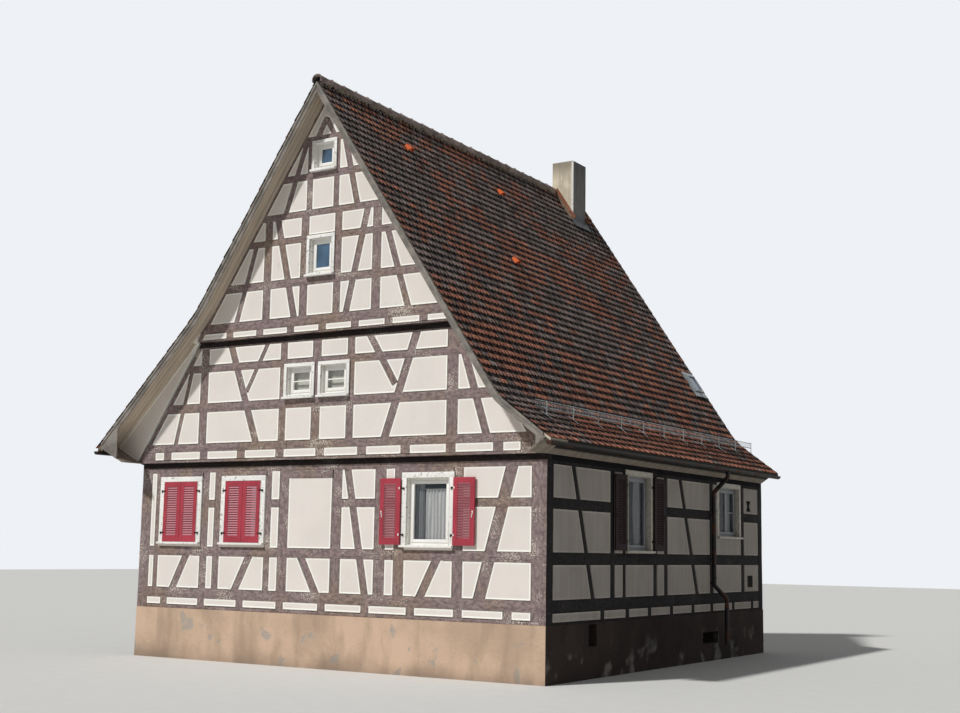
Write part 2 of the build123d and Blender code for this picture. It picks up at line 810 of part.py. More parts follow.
with BuildPart() as gutters:
    run = house_depth + tile_verge_reach - gutter_verge_gap
    with BuildSketch(gable_plane(gutter_verge_gap - tile_verge_reach)):
        for slope in slopes:
            out, height = slope.gutter_centre()
            with Locations((slope.side * out, height)):
                Circle(gutter_radius)
                Circle(gutter_radius - gutter_wall, mode=Mode.SUBTRACT)
            lid = rail((height, height + gutter_radius), -gutter_radius, gutter_radius)
            add(lid.moved(Location((slope.side * out, 0, 0))), mode=Mode.SUBTRACT)
    extrude(amount=-run)
    count = int(run // gutter_hook_spacing)
    for step in range(count + 1):
        back = gutter_verge_gap - tile_verge_reach + 100 + step * gutter_hook_spacing
        with BuildSketch(gable_plane(back)):
            for slope in slopes:
                out, height = slope.gutter_centre()
                inner = out - gutter_radius
                top = slope.height(inner + gutter_wall, deck)
                sides = sorted((slope.side * inner, slope.side * (inner + gutter_wall)))
                add(rail((height - gutter_wall, top), *sides))
        extrude(amount=-gutter_hook_width)
save(gutters, "gutters")


downpipe_y = gable_y + far_post - downpipe_post_shift


def downpipe_path(slope):
    """Corners of a downpipe's centre line, from the gutter to above the ground."""
    out, height = slope.gutter_centre()
    top = height - gutter_radius - floor_gap
    near = half_width + downpipe_wall_gap + downpipe_radius
    points = [(out, top), (out, top - downpipe_neck), (near, top - downpipe_neck - (out - near))]
    points.append((near, downpipe_shift_top))
    points.append((near + downpipe_shift, downpipe_shift_top - downpipe_shift))
    points.append((near + downpipe_shift, downpipe_foot))
    return [(ridge_x + slope.side * x, downpipe_y, plinth_height + z) for x, z in points]


with BuildPart() as downpipes:
    for slope in slopes:
        corners = downpipe_path(slope)
        with BuildLine():
            FilletPolyline(*corners, radius=downpipe_bend_radius)
        with BuildSketch(Plane(origin=corners[0], z_dir=(0, 0, -1))):
            Circle(downpipe_radius)
            Circle(downpipe_radius - downpipe_wall, mode=Mode.SUBTRACT)
        sweep()
        gap = downpipe_wall_gap + downpipe_wall
        centre_x = ridge_x + slope.side * (half_width + gap / 2)
        clips = [(centre_x, downpipe_y, plinth_height + height) for height in downpipe_clips]
        with Locations(clips):
            Box(gap, clip_width, clip_height)
save(downpipes, "downpipes")

with BuildPart() as snow_guard:
    guard_out = half_width - guard_wall_gap
    first = guard_bracket_first
    count = int((house_depth - first) // guard_bracket_spacing)
    last = first + count * guard_bracket_spacing
    foot = street.height(guard_out, 0)
    for step in range(count + 1):
        back = first + step * guard_bracket_spacing
        with BuildSketch(gable_plane(back)):
            low = guard_out - guard_foot / 2
            high = guard_out + guard_foot / 2
            strip = [(low, street.height(low, 0)), (high, street.height(high, 0))]
            strip += [(x, z + guard_strip) for x, z in reversed(strip)]
            Polygon(*strip, align=None)
            add(post(guard_out, guard_strip, foot + guard_strip / 2, foot + guard_height))
        extrude(amount=-guard_bracket_width)
    with BuildSketch(gable_plane(first - guard_end)):
        levels = [foot + height for height in guard_rail_heights]
        add([post(guard_out, guard_rail, level, level + guard_rail) for level in levels])
    extrude(amount=-(last - first + guard_end + guard_bracket_width))
save(snow_guard, "snow_guard")

with BuildPart() as skylight_frame_part:
    with BuildSketch(skylight_plane.offset(-deck)):
        Rectangle(skylight_width, skylight_length)
        Rectangle(skylight_width - 2 * skylight_frame, skylight_length - 2 * skylight_frame, mode=Mode.SUBTRACT)
    extrude(amount=deck + skylight_proud)
save(skylight_frame_part, "skylight_frame")

with BuildPart() as skylight_pane:
    with BuildSketch(skylight_plane.offset(skylight_proud - skylight_pane_depth - pane_thickness)):
        Rectangle(skylight_width - 2 * skylight_frame, skylight_length - 2 * skylight_frame)
    extrude(amount=pane_thickness)
save(skylight_pane, "skylight_pane")

# Window surrounds, sashes and panes


def place_surrounds(wall, windows, side, head, sill):
    """Boards round each window on a wall's face, its sill, and the lining of the opening."""
    with BuildSketch(wall) as boards:
        add([surround(window, side, head, sill) for window in windows])
        add([opening(window) for window in windows], mode=Mode.SUBTRACT)
    extrude(boards.sketch, amount=surround_proud)
    with BuildSketch(wall) as sills:
        for centre, width, bottom, top in windows:
            foot = bottom - sill
            add(post(centre, width + 2 * side, foot, foot + sill_board_height))
    extrude(sills.sketch, amount=sill_board_proud)
    with BuildSketch(wall.offset(-lining_inset)) as linings:
        add([opening(window) for window in windows])
        add([opening(window, -lining_thickness) for window in windows], mode=Mode.SUBTRACT)
    extrude(linings.sketch, amount=lining_inset + sash_gap - sash_recess)


def mullion(window):
    """Upright between the two casements of a wide window."""
    centre, width, bottom, top = window
    return post(centre, mullion_width, bottom + sash_frame_width, top - sash_frame_width)


def place_sashes(wall, windows):
    """Fixed frame in each opening, and a casement that stands a little proud in it."""
    with BuildSketch(wall.offset(-sash_recess)) as frames:
        add([opening(window, -sash_gap) for window in windows])
        add([opening(window, -sash_frame_width) for window in windows], mode=Mode.SUBTRACT)
    extrude(frames.sketch, amount=-sash_frame_thickness)
    with BuildSketch(wall.offset(casement_proud - sash_recess)) as casements:
        add([opening(window, -sash_frame_width) for window in windows])
        inner = -sash_frame_width - casement_width
        add([opening(window, inner) for window in windows], mode=Mode.SUBTRACT)
        add([mullion(window) for window in windows if window in two_light_windows])
    extrude(casements.sketch, amount=-casement_thickness)


def place_panes(wall, windows):
    """Glass in the casements."""
    with BuildSketch(wall.offset(casement_proud - sash_recess - pane_recess)) as glass:
        inner = -sash_frame_width - casement_width
        add([opening(window, inner) for window in windows])
        uprights = [mullion(window) for window in windows if window in two_light_windows]
        add(uprights, mode=Mode.SUBTRACT)
    extrude(glass.sketch, amount=-pane_thickness)


attic_boards = (attic_surround, attic_surround, attic_surround)
street_boards = (surround_width, surround_head, sill_board_height)

with BuildPart() as surrounds_gable:
    place_surrounds(gable_plane(0), gable_windows, *street_boards)
    place_surrounds(gable_plane(-lower_jetty), lower_windows, *attic_boards)
    place_surrounds(gable_plane(-upper_jetty), upper_windows, *attic_boards)
save(surrounds_gable, "surrounds_gable")

with BuildPart() as sashes_gable:
    place_sashes(gable_plane(0), gable_windows)
    place_sashes(gable_plane(-lower_jetty), lower_windows)
    place_sashes(gable_plane(-upper_jetty), upper_windows)
save(sashes_gable, "sashes_gable")

with BuildPart() as panes_gable:
    place_panes(gable_plane(0), gable_windows)
    place_panes(gable_plane(-lower_jetty), lower_windows)
    place_panes(gable_plane(-upper_jetty), upper_windows)
save(panes_gable, "panes_gable")

with BuildPart() as surrounds_sides:
    place_surrounds(street_plane(0), street_windows, *street_boards)
    mirror(about=centre_plane)
save(surrounds_sides, "surrounds_sides")

with BuildPart() as sashes_sides:
    place_sashes(street_plane(0), street_windows)
    mirror(about=centre_plane)
save(sashes_sides, "sashes_sides")

with BuildPart() as panes_sides:
    place_panes(street_plane(0), street_windows)
    mirror(about=centre_plane)
save(panes_sides, "panes_sides")


# Shutters, each with its wall, window, side and angle from closed


def hinge_plane(wall, window, side, turn):
    """Level plane on a leaf's hinge line, with its X axis along the leaf."""
    centre, width, bottom, top = window
    line = centre - side * (width + surround_width) / 2
    origin = wall.from_local_coords(Vector(line, bottom, hinge_proud))
    along = wall.x_dir * (side * cos(radians(turn))) + wall.z_dir * sin(radians(turn))
    return Plane(origin=origin, x_dir=along, z_dir=(0, 0, 1))


def hinge_levels(window):
    """Heights of a leaf's two hinges above the foot of its opening."""
    height = window[3] - window[2]
    return hinge_inset - hinge_height / 2, height - hinge_inset - hinge_height / 2


shutters = {}
for number, window in enumerate(gable_windows, start=1):
    turn = 180 if number == 3 else 0
    shutters[f"shutter_gable_{number}_left"] = (gable_plane(0), window, 1, turn)
    shutters[f"shutter_gable_{number}_right"] = (gable_plane(0), window, -1, turn)
shutters["shutter_street_near"] = (street_plane(0), street_windows[0], 1, 180)
shutters["shutter_street_far"] = (street_plane(0), street_windows[0], -1, 180)

with BuildPart() as pintles:
    for wall, window, side, turn in shutters.values():
        level_at_foot = hinge_plane(wall, window, side, 0)
        for level in hinge_levels(window):
            with BuildSketch(level_at_foot.offset(level - hinge_arm - hinge_arm_gap)):
                Circle(hinge_pin_radius)
            extrude(amount=hinge_arm + hinge_arm_gap + hinge_height)
            with BuildSketch(level_at_foot.offset(level - hinge_arm - hinge_arm_gap)):
                Circle(hinge_knuckle_radius)
                reach = hinge_proud - surround_proud
                with Locations((0, side * reach / 2)):
                    Rectangle(2 * hinge_knuckle_radius, reach)
            extrude(amount=hinge_arm)
save(pintles, "pintles")

for name, (wall, window, side, turn) in shutters.items():
    hinge = hinge_plane(wall, window, side, turn)
    leaf_width = (window[1] + surround_width - shutter_gap) / 2 - hinge_reach
    leaf_height = window[3] - window[2] - 2 * shutter_gap
    middle = hinge_reach + leaf_width / 2
    field_width = leaf_width - 2 * shutter_stile
    field_height = leaf_height - shutter_top_rail - shutter_foot_rail
    with BuildPart() as leaf:
        with BuildSketch(hinge.offset(shutter_gap)):
            with Locations((middle, side * shutter_thickness / 2)):
                Rectangle(leaf_width, shutter_thickness)
        extrude(amount=leaf_height)
        with BuildSketch(hinge.offset(shutter_gap + shutter_foot_rail)):
            faces = (shutter_field_depth / 2, shutter_thickness - shutter_field_depth / 2)
            with Locations([(middle, side * face) for face in faces]):
                Rectangle(field_width, shutter_field_depth)
        extrude(amount=field_height, mode=Mode.SUBTRACT)
        for level in hinge_levels(window):
            with BuildSketch(hinge.offset(level)):
                Circle(hinge_knuckle_radius)
                with Locations((strap_length / 2, -side * strap_thickness / 2)):
                    Rectangle(strap_length, strap_thickness)
                Circle(hinge_pin_radius + hinge_pin_clearance, mode=Mode.SUBTRACT)
            extrude(amount=hinge_height)
    save(leaf, name)
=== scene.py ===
import math
import random

import bpy
from mathutils import Matrix, Vector, noise


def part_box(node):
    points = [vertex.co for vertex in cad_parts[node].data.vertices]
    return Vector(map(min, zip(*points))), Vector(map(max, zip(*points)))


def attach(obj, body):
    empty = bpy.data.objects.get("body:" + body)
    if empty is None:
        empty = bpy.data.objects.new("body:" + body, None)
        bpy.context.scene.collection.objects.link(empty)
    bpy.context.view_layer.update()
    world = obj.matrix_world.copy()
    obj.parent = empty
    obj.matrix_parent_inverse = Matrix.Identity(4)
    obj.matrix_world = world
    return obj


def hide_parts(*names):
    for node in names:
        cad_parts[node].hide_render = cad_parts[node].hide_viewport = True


bl_info = {
    "name": "Half Timbered House",
    "version": (1, 0, 0),
    "blender": (4, 5, 0),
    "location": "View3D > Sidebar > House",
    "description": "Dresses the packed house with timbers, plaster, tiles, shutters and finishes",
    "category": "Object",
}

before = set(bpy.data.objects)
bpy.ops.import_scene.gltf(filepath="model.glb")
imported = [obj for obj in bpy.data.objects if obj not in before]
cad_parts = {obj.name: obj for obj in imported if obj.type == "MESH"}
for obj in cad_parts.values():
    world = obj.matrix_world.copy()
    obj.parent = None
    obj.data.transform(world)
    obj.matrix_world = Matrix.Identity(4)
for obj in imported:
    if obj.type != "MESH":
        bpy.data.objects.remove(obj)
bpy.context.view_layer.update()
HOUSE = "house"

# Datum of the house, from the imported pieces
PLINTH_LOW, PLINTH_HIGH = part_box("plinth")
MIDDLE = (PLINTH_LOW.x + PLINTH_HIGH.x) / 2
HALF_WIDTH = (PLINTH_HIGH.x - PLINTH_LOW.x) / 2
GABLE = PLINTH_LOW.y
DEPTH = PLINTH_HIGH.y - PLINTH_LOW.y
GROUND = PLINTH_HIGH.z
LOWER_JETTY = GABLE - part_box("gable_frame_lower")[0].y
UPPER_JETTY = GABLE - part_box("gable_frame_upper")[0].y

# Pitch, levels above the plinth and sizes that several steps share
RIDGE_HEIGHT = 10.4
MAIN_PITCH = math.radians(56.4)
RAFTER_DEPTH = 0.15
WALL_TOP = 2.95
LOWER_TOP = 5.4
TIMBER_DEPTH = 0.18
PLASTER_PROUD = 0.006
TIMBER_SET = 0.008
LINTEL_PROUD = TIMBER_SET + 0.008
LAP = 0.04
LONG_LAP = 0.05
GUTTER_RADIUS = 0.07
SHARP_ANGLE = math.radians(35)

# Windows and vents, each as centre, width, bottom and top of its clear opening
GROUND_WINDOWS = [(centre, 0.93, 1.335, 2.565) for centre in (-3.74, -2.055, 2.39)]
LOWER_WINDOWS = [(-0.625, 0.62, 4.21, 4.77), (0.225, 0.62, 4.21, 4.77)]
UPPER_WINDOWS = [(-0.1, 0.55, 6.58, 7.27), (-0.08, 0.48, RIDGE_HEIGHT - 1.71, RIDGE_HEIGHT - 1.21)]
STREET_WINDOWS = [(3.7, 1.01, 1.3, 2.75), (DEPTH - 2.12, 1.18, 1.65, 2.74)]
WALL_VENTS = [(DEPTH - 0.89, 0.3, 2.25, 2.5), (DEPTH - 0.835, 0.37, 0.52, 0.79)]

# Openings of the plinth, each as centre, width, bottom and top, with its number of bars
PLINTH_OPENINGS = {
    "plinth_bars_near": ((1.76, 0.3, -0.43, -0.03), 2),
    "plinth_bars_far": ((DEPTH - 3.205, 0.85, -0.64, -0.39), 6),
}

# Vent tiles, each as its distance out from the ridge and back from the gable
VENT_TILES = [(0.639, 1.579), (0.711, 5.142), (2.05, 3.586)]

# Collars of a downpipe, each as its level above the plinth and its distance out from the upper pipe
PIPE_COLLARS = [(2.2, 0.0), (1.4, 0.0), (0.76, 0.0), (0.12, 0.28), (-0.42, 0.28)]

# Light of the reference view
SUN_STRENGTH = 2.75
SUN_SPREAD = 0.06
SUN_FROM = Vector((-0.27, -0.62, 0.735))
AMBIENT = 0.21

# Camera that took the reference view
CAMERA_LENS = 50.98
CAMERA_PLACE = Vector((16.5075, -25.537, 2.26))
CAMERA_PITCH = math.radians(8.122)
CAMERA_YAW = math.radians(32.008)
CAMERA_ROLL = math.radians(0.945)


def paint(text):
    """Linear colour of a screen colour written as six hexadecimal digits."""
    shares = [int(text[place:place + 2], 16) / 255 for place in (0, 2, 4)]
    return [share / 12.92 if share <= 0.04045 else ((share + 0.055) / 1.055) ** 2.4 for share in shares]


def length_property(name, description, default):
    return bpy.props.FloatProperty(
        name=name, description=description, default=default, min=0.0, unit="LENGTH"
    )


def colour_property(name, description, text):
    return bpy.props.FloatVectorProperty(
        name=name, description=description, default=paint(text), size=3, min=0.0, max=1.0, subtype="COLOR"
    )


class HouseSizes(bpy.types.PropertyGroup):
    """Sizes of the finish."""

    timber_bevel: length_property("Timber arris", "Rounding of the timbers' edges", 0.008)
    timber_wander: length_property("Timber wander", "How far a timber's edges stray from straight", 0.007)
    panel_border: length_property("Panel border", "Width of the pale strip round a plaster panel", 0.028)
    panel_step: length_property("Panel step", "Depth of a panel behind its border", 0.004)
    tile_width: length_property("Tile width", "Width that one roof tile covers", 0.244)
    tile_exposure: length_property("Tile exposure", "Length of a roof tile that shows", 0.194)
    tile_lap: length_property("Tile lap", "Length of a roof tile under the one above", 0.06)
    tile_thickness: length_property("Tile thickness", "Thickness of a roof tile", 0.016)
    tile_rib: length_property("Tile rib", "Height of a roof tile's raised edge", 0.018)
    ridge_tile_length: length_property("Ridge tile", "Length of a ridge tile that shows", 0.4)
    board_arris: length_property("Board arris", "Rounding of the window boards' edges", 0.004)
    slat_spacing: length_property("Slat spacing", "Height from one shutter slat to the next", 0.048)
    fold_width: length_property("Curtain fold", "Width of one fold of the curtains", 0.075)
    fold_depth: length_property("Curtain fold depth", "Depth of a fold of the curtains", 0.02)


class HouseColours(bpy.types.PropertyGroup):
    """Colours of the finishes."""

    timber: colour_property("Gable timber", "Weathered paint of the gable's timbers", "887876")
    timber_brown: colour_property("Worn timber", "Brown patches where the paint has gone", "9b856f")
    timber_flake: colour_property("Timber flakes", "Pale flakes on the timbers", "ddd3c4")
    street_timber: colour_property("Street timber", "Darker timbers of the sides", "2b2929")
    street_flake: colour_property("Street flakes", "Dull flakes on the sides' timbers", "3b3735")
    plaster: colour_property("Plaster", "Panels of the gable", "e9e1d9")
    border: colour_property("Border", "Strip round the panels", "fdfbf2")
    street_plaster: colour_property("Street plaster", "Panels of the sides", "a19a93")
    plinth: colour_property("Plinth", "Render of the plinth on the gable", "cbaf97")
    street_plinth: colour_property("Street plinth", "Dirty render of the plinth on the sides", "352d2a")
    salt: colour_property("Salt", "Pale bloom near the plinth's foot", "a5a098")
    tile: colour_property("Roof tile", "Dark weathered roof tile", "9d8d87")
    rust: colour_property("Red tile", "Red roof tile", "cb8a72")
    vent: colour_property("Vent tile", "New clay of the vent tiles", "d9683a")
    shutter: colour_property("Shutter", "Paint of the gable's shutters", "a83a47")
    # Pale colour of the slats: partly chalky wear, partly a painted highlight.
    chalk_and_highlight: colour_property("Chalky paint", "Pale bloom on the slats", "cf98a0")
    street_shutter: colour_property("Street shutter", "Darker paint of the street's shutters", "1d0b0d")
    trim: colour_property("Trim", "White paint of the window boards", "f4f2ec")
    bare_trim: colour_property("Worn trim", "Grey wood where the white paint has gone", "8f8982")
    street_trim: colour_property("Street trim", "Duller paint of the street's window boards", "b5b0a2")
    render: colour_property("Chimney render", "Render of the chimney", "dfd2ba")
    barge: colour_property("Verge boards", "Paint of the verge boards", "8e8880")
    soffit: colour_property("Soffit", "Boards under the eaves and verges", "aea293")
    metal: colour_property("Metal", "Gutters and pipes", "151312")
    zinc: colour_property("Zinc", "Snow guard and flashings", "8f9495")
    glass: colour_property("Glass", "Tint of the window glass", "47525f")
    # Painted reflection: sky blue laid into the glass of the upper windows and of the roof window.
    painted_sky_reflection: colour_property("Sky in the glass", "Blue of the upper windows' glass", "43637f")
    cloth: colour_property("Net curtain", "White net of the curtains", "e9e9e6")
    blind: colour_property("Blind", "Pale cloth of the attic's blinds", "f6f3e4")
    stage: colour_property("Stage", "Floor under the house", "d9d8d4")


# Shader tools


class Signal:
    """Output of a node that takes part in plain arithmetic."""

    def __init__(self, tree, socket):
        self.tree = tree
        self.socket = socket

    def reckon(self, operation, first, second):
        maths = self.tree.nodes.new("ShaderNodeMath")
        maths.operation = operation
        for place, value in enumerate((first, second)):
            if isinstance(value, Signal):
                self.tree.links.new(value.socket, maths.inputs[place])
            else:
                maths.inputs[place].default_value = value
        return Signal(self.tree, maths.outputs[0])

    def __add__(self, other):
        return self.reckon("ADD", self, other)

    def __radd__(self, other):
        return self.reckon("ADD", other, self)

    def __sub__(self, other):
        return self.reckon("SUBTRACT", self, other)

    def __rsub__(self, other):
        return self.reckon("SUBTRACT", other, self)

    def __mul__(self, other):
        return self.reckon("MULTIPLY", self, other)



class Finish:
    """Material whose nodes read a piece's own coordinates."""

    def __init__(self, name, roughness=0.8, metallic=0.0):
        self.material = bpy.data.materials.new(name)
        if self.material.name != name:
            raise ValueError(name + " is the name of a packed material")
        self.material.use_nodes = True
        self.tree = self.material.node_tree
        self.shader = self.tree.nodes["Principled BSDF"]
        self.shader.inputs["Roughness"].default_value = roughness
        self.shader.inputs["Metallic"].default_value = metallic
        if roughness > 0.6:
            self.shader.inputs["Specular IOR Level"].default_value = 0.12
        self.place = self.node("ShaderNodeTexCoord", output="Object")

    def node(self, kind, settings=None, inputs=None, output=0):
        """A node with its settings, then the values or links of its sockets."""
        made = self.tree.nodes.new(kind)
        for name, value in (settings or {}).items():
            setattr(made, name, value)
        for name, value in (inputs or {}).items():
            if isinstance(value, Signal):
                self.tree.links.new(value.socket, made.inputs[name])
            else:
                made.inputs[name].default_value = value
        return Signal(self.tree, made.outputs[output])

    def stretched(self, scale, where=None):
        """Coordinates scaled by a factor along each axis."""
        return self.node("ShaderNodeMapping", inputs={"Vector": where or self.place, "Scale": scale})

    def noise(self, scale, detail=4.0, where=None, distortion=0.0):
        values = {"Vector": where or self.place, "Scale": scale, "Detail": detail, "Distortion": distortion}
        return self.node("ShaderNodeTexNoise", inputs=values)

    def axis(self, name, where=None):
        """One coordinate of the piece."""
        return self.node("ShaderNodeSeparateXYZ", inputs={"Vector": where or self.place}, output=name)

    def grain(self):
        """Coordinates along and across a timber."""
        return self.node("ShaderNodeUVMap", {"uv_map": "Grain"})

    def mark(self, name):
        """Number that each tile carries."""
        return self.node("ShaderNodeAttribute", {"attribute_name": name}, output="Fac")

    def facing(self, name):
        """How far the surface faces along one axis."""
        normal = self.node("ShaderNodeNewGeometry", output="True Normal")
        return self.axis(name, normal)

    def fold(self, value, spacing):
        """Rises from 0 on each of an even row of lines to half their spacing between them."""
        return self.node("ShaderNodeMath", {"operation": "PINGPONG"}, {0: value, 1: spacing / 2})

    def range(self, value, low, high):
        """A value spread from 0 at low to 1 at high."""
        values = {"Value": value, "From Min": low, "From Max": high}
        return self.node("ShaderNodeMapRange", {"interpolation_type": "SMOOTHSTEP"}, values)

    def mix(self, factor, first, second):
        """Colour between two colours."""
        made = self.tree.nodes.new("ShaderNodeMix")
        made.data_type = "RGBA"
        for place, value in ((0, factor), (6, first), (7, second)):
            if isinstance(value, Signal):
                self.tree.links.new(value.socket, made.inputs[place])
            elif place == 0:
                made.inputs[place].default_value = value
            else:
                made.inputs[place].default_value = (*value, 1.0)
        return Signal(self.tree, made.outputs[2])

    def tones(self, value, low, high, colour, dark, pale):
        """A colour that turns from dark to pale while a value goes from low to high."""
        return self.mix(self.range(value, low, high), shade(colour, dark), shade(colour, pale))

    def feed(self, name, value):
        """Joins a varying value to the shader."""
        self.tree.links.new(value.socket, self.shader.inputs[name])

    def bump(self, height, distance):
        """Small relief from a height between 0 and 1."""
        self.feed("Normal", self.node("ShaderNodeBump", inputs={"Height": height, "Distance": distance}))


def shade(colour, factor):
    """A colour made darker or lighter by a factor."""
    return [min(1.0, channel * factor) for channel in colour]


def colours():
    return bpy.context.scene.house_colours


def sizes():
    return bpy.context.scene.house_sizes


# Modelling tools


def wall_frame(across, out, corner):
    """Frame of a wall's face: X across it, Y up and Z out of it."""
    turn = Matrix((across, (0, 0, 1), out)).transposed()
    return Matrix.Translation(corner) @ turn.to_4x4()


GROUND_WALL = wall_frame((1, 0, 0), (0, -1, 0), (MIDDLE, GABLE, GROUND))
LOWER_WALL = wall_frame((1, 0, 0), (0, -1, 0), (MIDDLE, GABLE - LOWER_JETTY, GROUND))
UPPER_WALL = wall_frame((1, 0, 0), (0, -1, 0), (MIDDLE, GABLE - UPPER_JETTY, GROUND))
STREET_WALL = wall_frame((0, 1, 0), (1, 0, 0), (MIDDLE + HALF_WIDTH, GABLE, GROUND))
COURT_WALL = wall_frame((0, 1, 0), (-1, 0, 0), (MIDDLE - HALF_WIDTH, GABLE, GROUND))
MIRROR = Matrix.Translation((2 * MIDDLE, 0, 0)) @ Matrix.Scale(-1, 4, (1, 0, 0))


def choose(piece, *others):
    """Selects pieces, with the first one active."""
    bpy.ops.object.select_all(action="DESELECT")
    for each in (piece, *others):
        each.select_set(True)
    bpy.context.view_layer.objects.active = piece


def add_new(mesh, name):
    piece = bpy.data.objects.new(name, mesh)
    bpy.context.scene.collection.objects.link(piece)
    return piece


def copy_of(source, place, name="copy"):
    """Copy with its own mesh, moved by a matrix. A mirrored copy keeps its faces outwards."""
    mesh = source.data.copy()
    mesh.transform(place)
    if place.determinant() < 0:
        mesh.flip_normals()
    return add_new(mesh, name)


def joined(name, parts):
    """One piece made of several."""
    choose(*parts)
    if len(parts) > 1:
        bpy.ops.object.join()
    parts[0].name = name
    parts[0].data.name = name
    return parts[0]


def joined_rows(name, parts):
    """One piece made of very many, joined in batches first."""
    batch = 60
    while len(parts) > batch:
        groups = [parts[start:start + batch] for start in range(0, len(parts), batch)]
        parts = [joined(name, group) for group in groups]
    return joined(name, parts)


def finish_edges(piece, width, segments=2):
    """Rounds a piece's sharp edges and smooths what is left."""
    choose(piece)
    bevel = piece.modifiers.new("arris", "BEVEL")
    bevel.width = width
    bevel.segments = segments
    bevel.limit_method = "ANGLE"
    bevel.angle_limit = SHARP_ANGLE
    bevel.use_clamp_overlap = True
    bpy.ops.object.modifier_apply(modifier="arris")
    bpy.ops.object.shade_smooth_by_angle(angle=SHARP_ANGLE)
    return piece


def thicken(piece, thickness):
    """Gives the active piece a thickness behind its faces."""
    slab = piece.modifiers.new("thickness", "SOLIDIFY")
    slab.thickness = thickness
    slab.offset = -1
    bpy.ops.object.modifier_apply(modifier="thickness")


def primitive(add, **settings):
    """New primitive, selected alone, its size and turn applied."""
    bpy.ops.object.select_all(action="DESELECT")
    add(**settings)
    bpy.ops.object.transform_apply()
    return bpy.context.active_object


def block(low, high, place=None):
    """Plain block between two corners, moved by a matrix."""
    low, high = Vector(low), Vector(high)
    piece = primitive(bpy.ops.mesh.primitive_cube_add, size=1.0, location=(low + high) / 2, scale=high - low)
    if place is not None:
        piece.data.transform(place)
    return piece


def edit(piece, test, kind="vertices"):
    """Opens a piece with only the vertices or faces selected that pass a test."""
    choose(piece)
    bpy.ops.object.mode_set(mode="EDIT")
    bpy.ops.mesh.select_mode(type="VERT" if kind == "vertices" else "FACE")
    bpy.ops.mesh.select_all(action="DESELECT")
    bpy.ops.object.mode_set(mode="OBJECT")
    for each in getattr(piece.data, kind):
        each.select = test(each)
    bpy.ops.object.mode_set(mode="EDIT")


def edit_whole(piece, kind="vertices"):
    """Opens a piece with all of it selected."""
    edit(piece, lambda each: True, kind)
    bpy.ops.mesh.select_all(action="SELECT")


def close():
    bpy.ops.object.mode_set(mode="OBJECT")


def move_part(piece, test, shift):
    """Moves the vertices that pass a test."""
    edit(piece, test)
    bpy.ops.transform.translate(value=shift)
    close()


def scale_part(piece, test, factors, centre):
    """Scales the vertices that pass a test, about a point."""
    edit(piece, test)
    bpy.ops.transform.resize(value=factors, center_override=centre)
    close()


def cut(piece, point, normal, **keep):
    """Cuts a piece along a plane."""
    edit_whole(piece)
    bpy.ops.mesh.bisect(plane_co=point, plane_no=normal, **keep)
    close()


def node_copy(node, name):
    """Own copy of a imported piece, its facets merged into plain faces."""
    piece = add_new(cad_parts[node].data.copy(), name)
    piece.data.materials.clear()
    edit_whole(piece, "polygons")
    bpy.ops.mesh.remove_doubles(threshold=0.0002)
    bpy.ops.mesh.dissolve_limited(angle_limit=math.radians(1))
    close()
    bpy.ops.mesh.customdata_custom_splitnormals_clear()
    return piece


def settle(piece, slot, *nodes, body=HOUSE):
    """Gives a finished piece its body and hides the nodes that it stands for. The slot is not used."""
    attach(piece, body)
    if nodes:
        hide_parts(*nodes)
    return piece


def surface(piece, *names):
    """Gives a piece the finishes of those names, in order."""
    for name in names:
        piece.data.materials.append(bpy.data.materials[name])
    return piece


def fitting(name, parts, arris, look, slot, *nodes, segments=1, body=HOUSE, place=None):
    """Finished piece made of parts: moved, its edges rounded, with its finish and body, the nodes that it
    stands for hidden. The slot is passed on but not used.
    """
    piece = joined(name, parts)
    if place is not None:
        piece.data.transform(place)
    finish_edges(piece, arris, segments)
    return settle(surface(piece, look), slot, *nodes, body=body)


def rafter_out(height, depth=RAFTER_DEPTH):
    """Distance from the ridge line to the rafters' line at a depth under the tiles."""
    return (RIDGE_HEIGHT - depth / math.cos(MAIN_PITCH) - height) / math.tan(MAIN_PITCH)


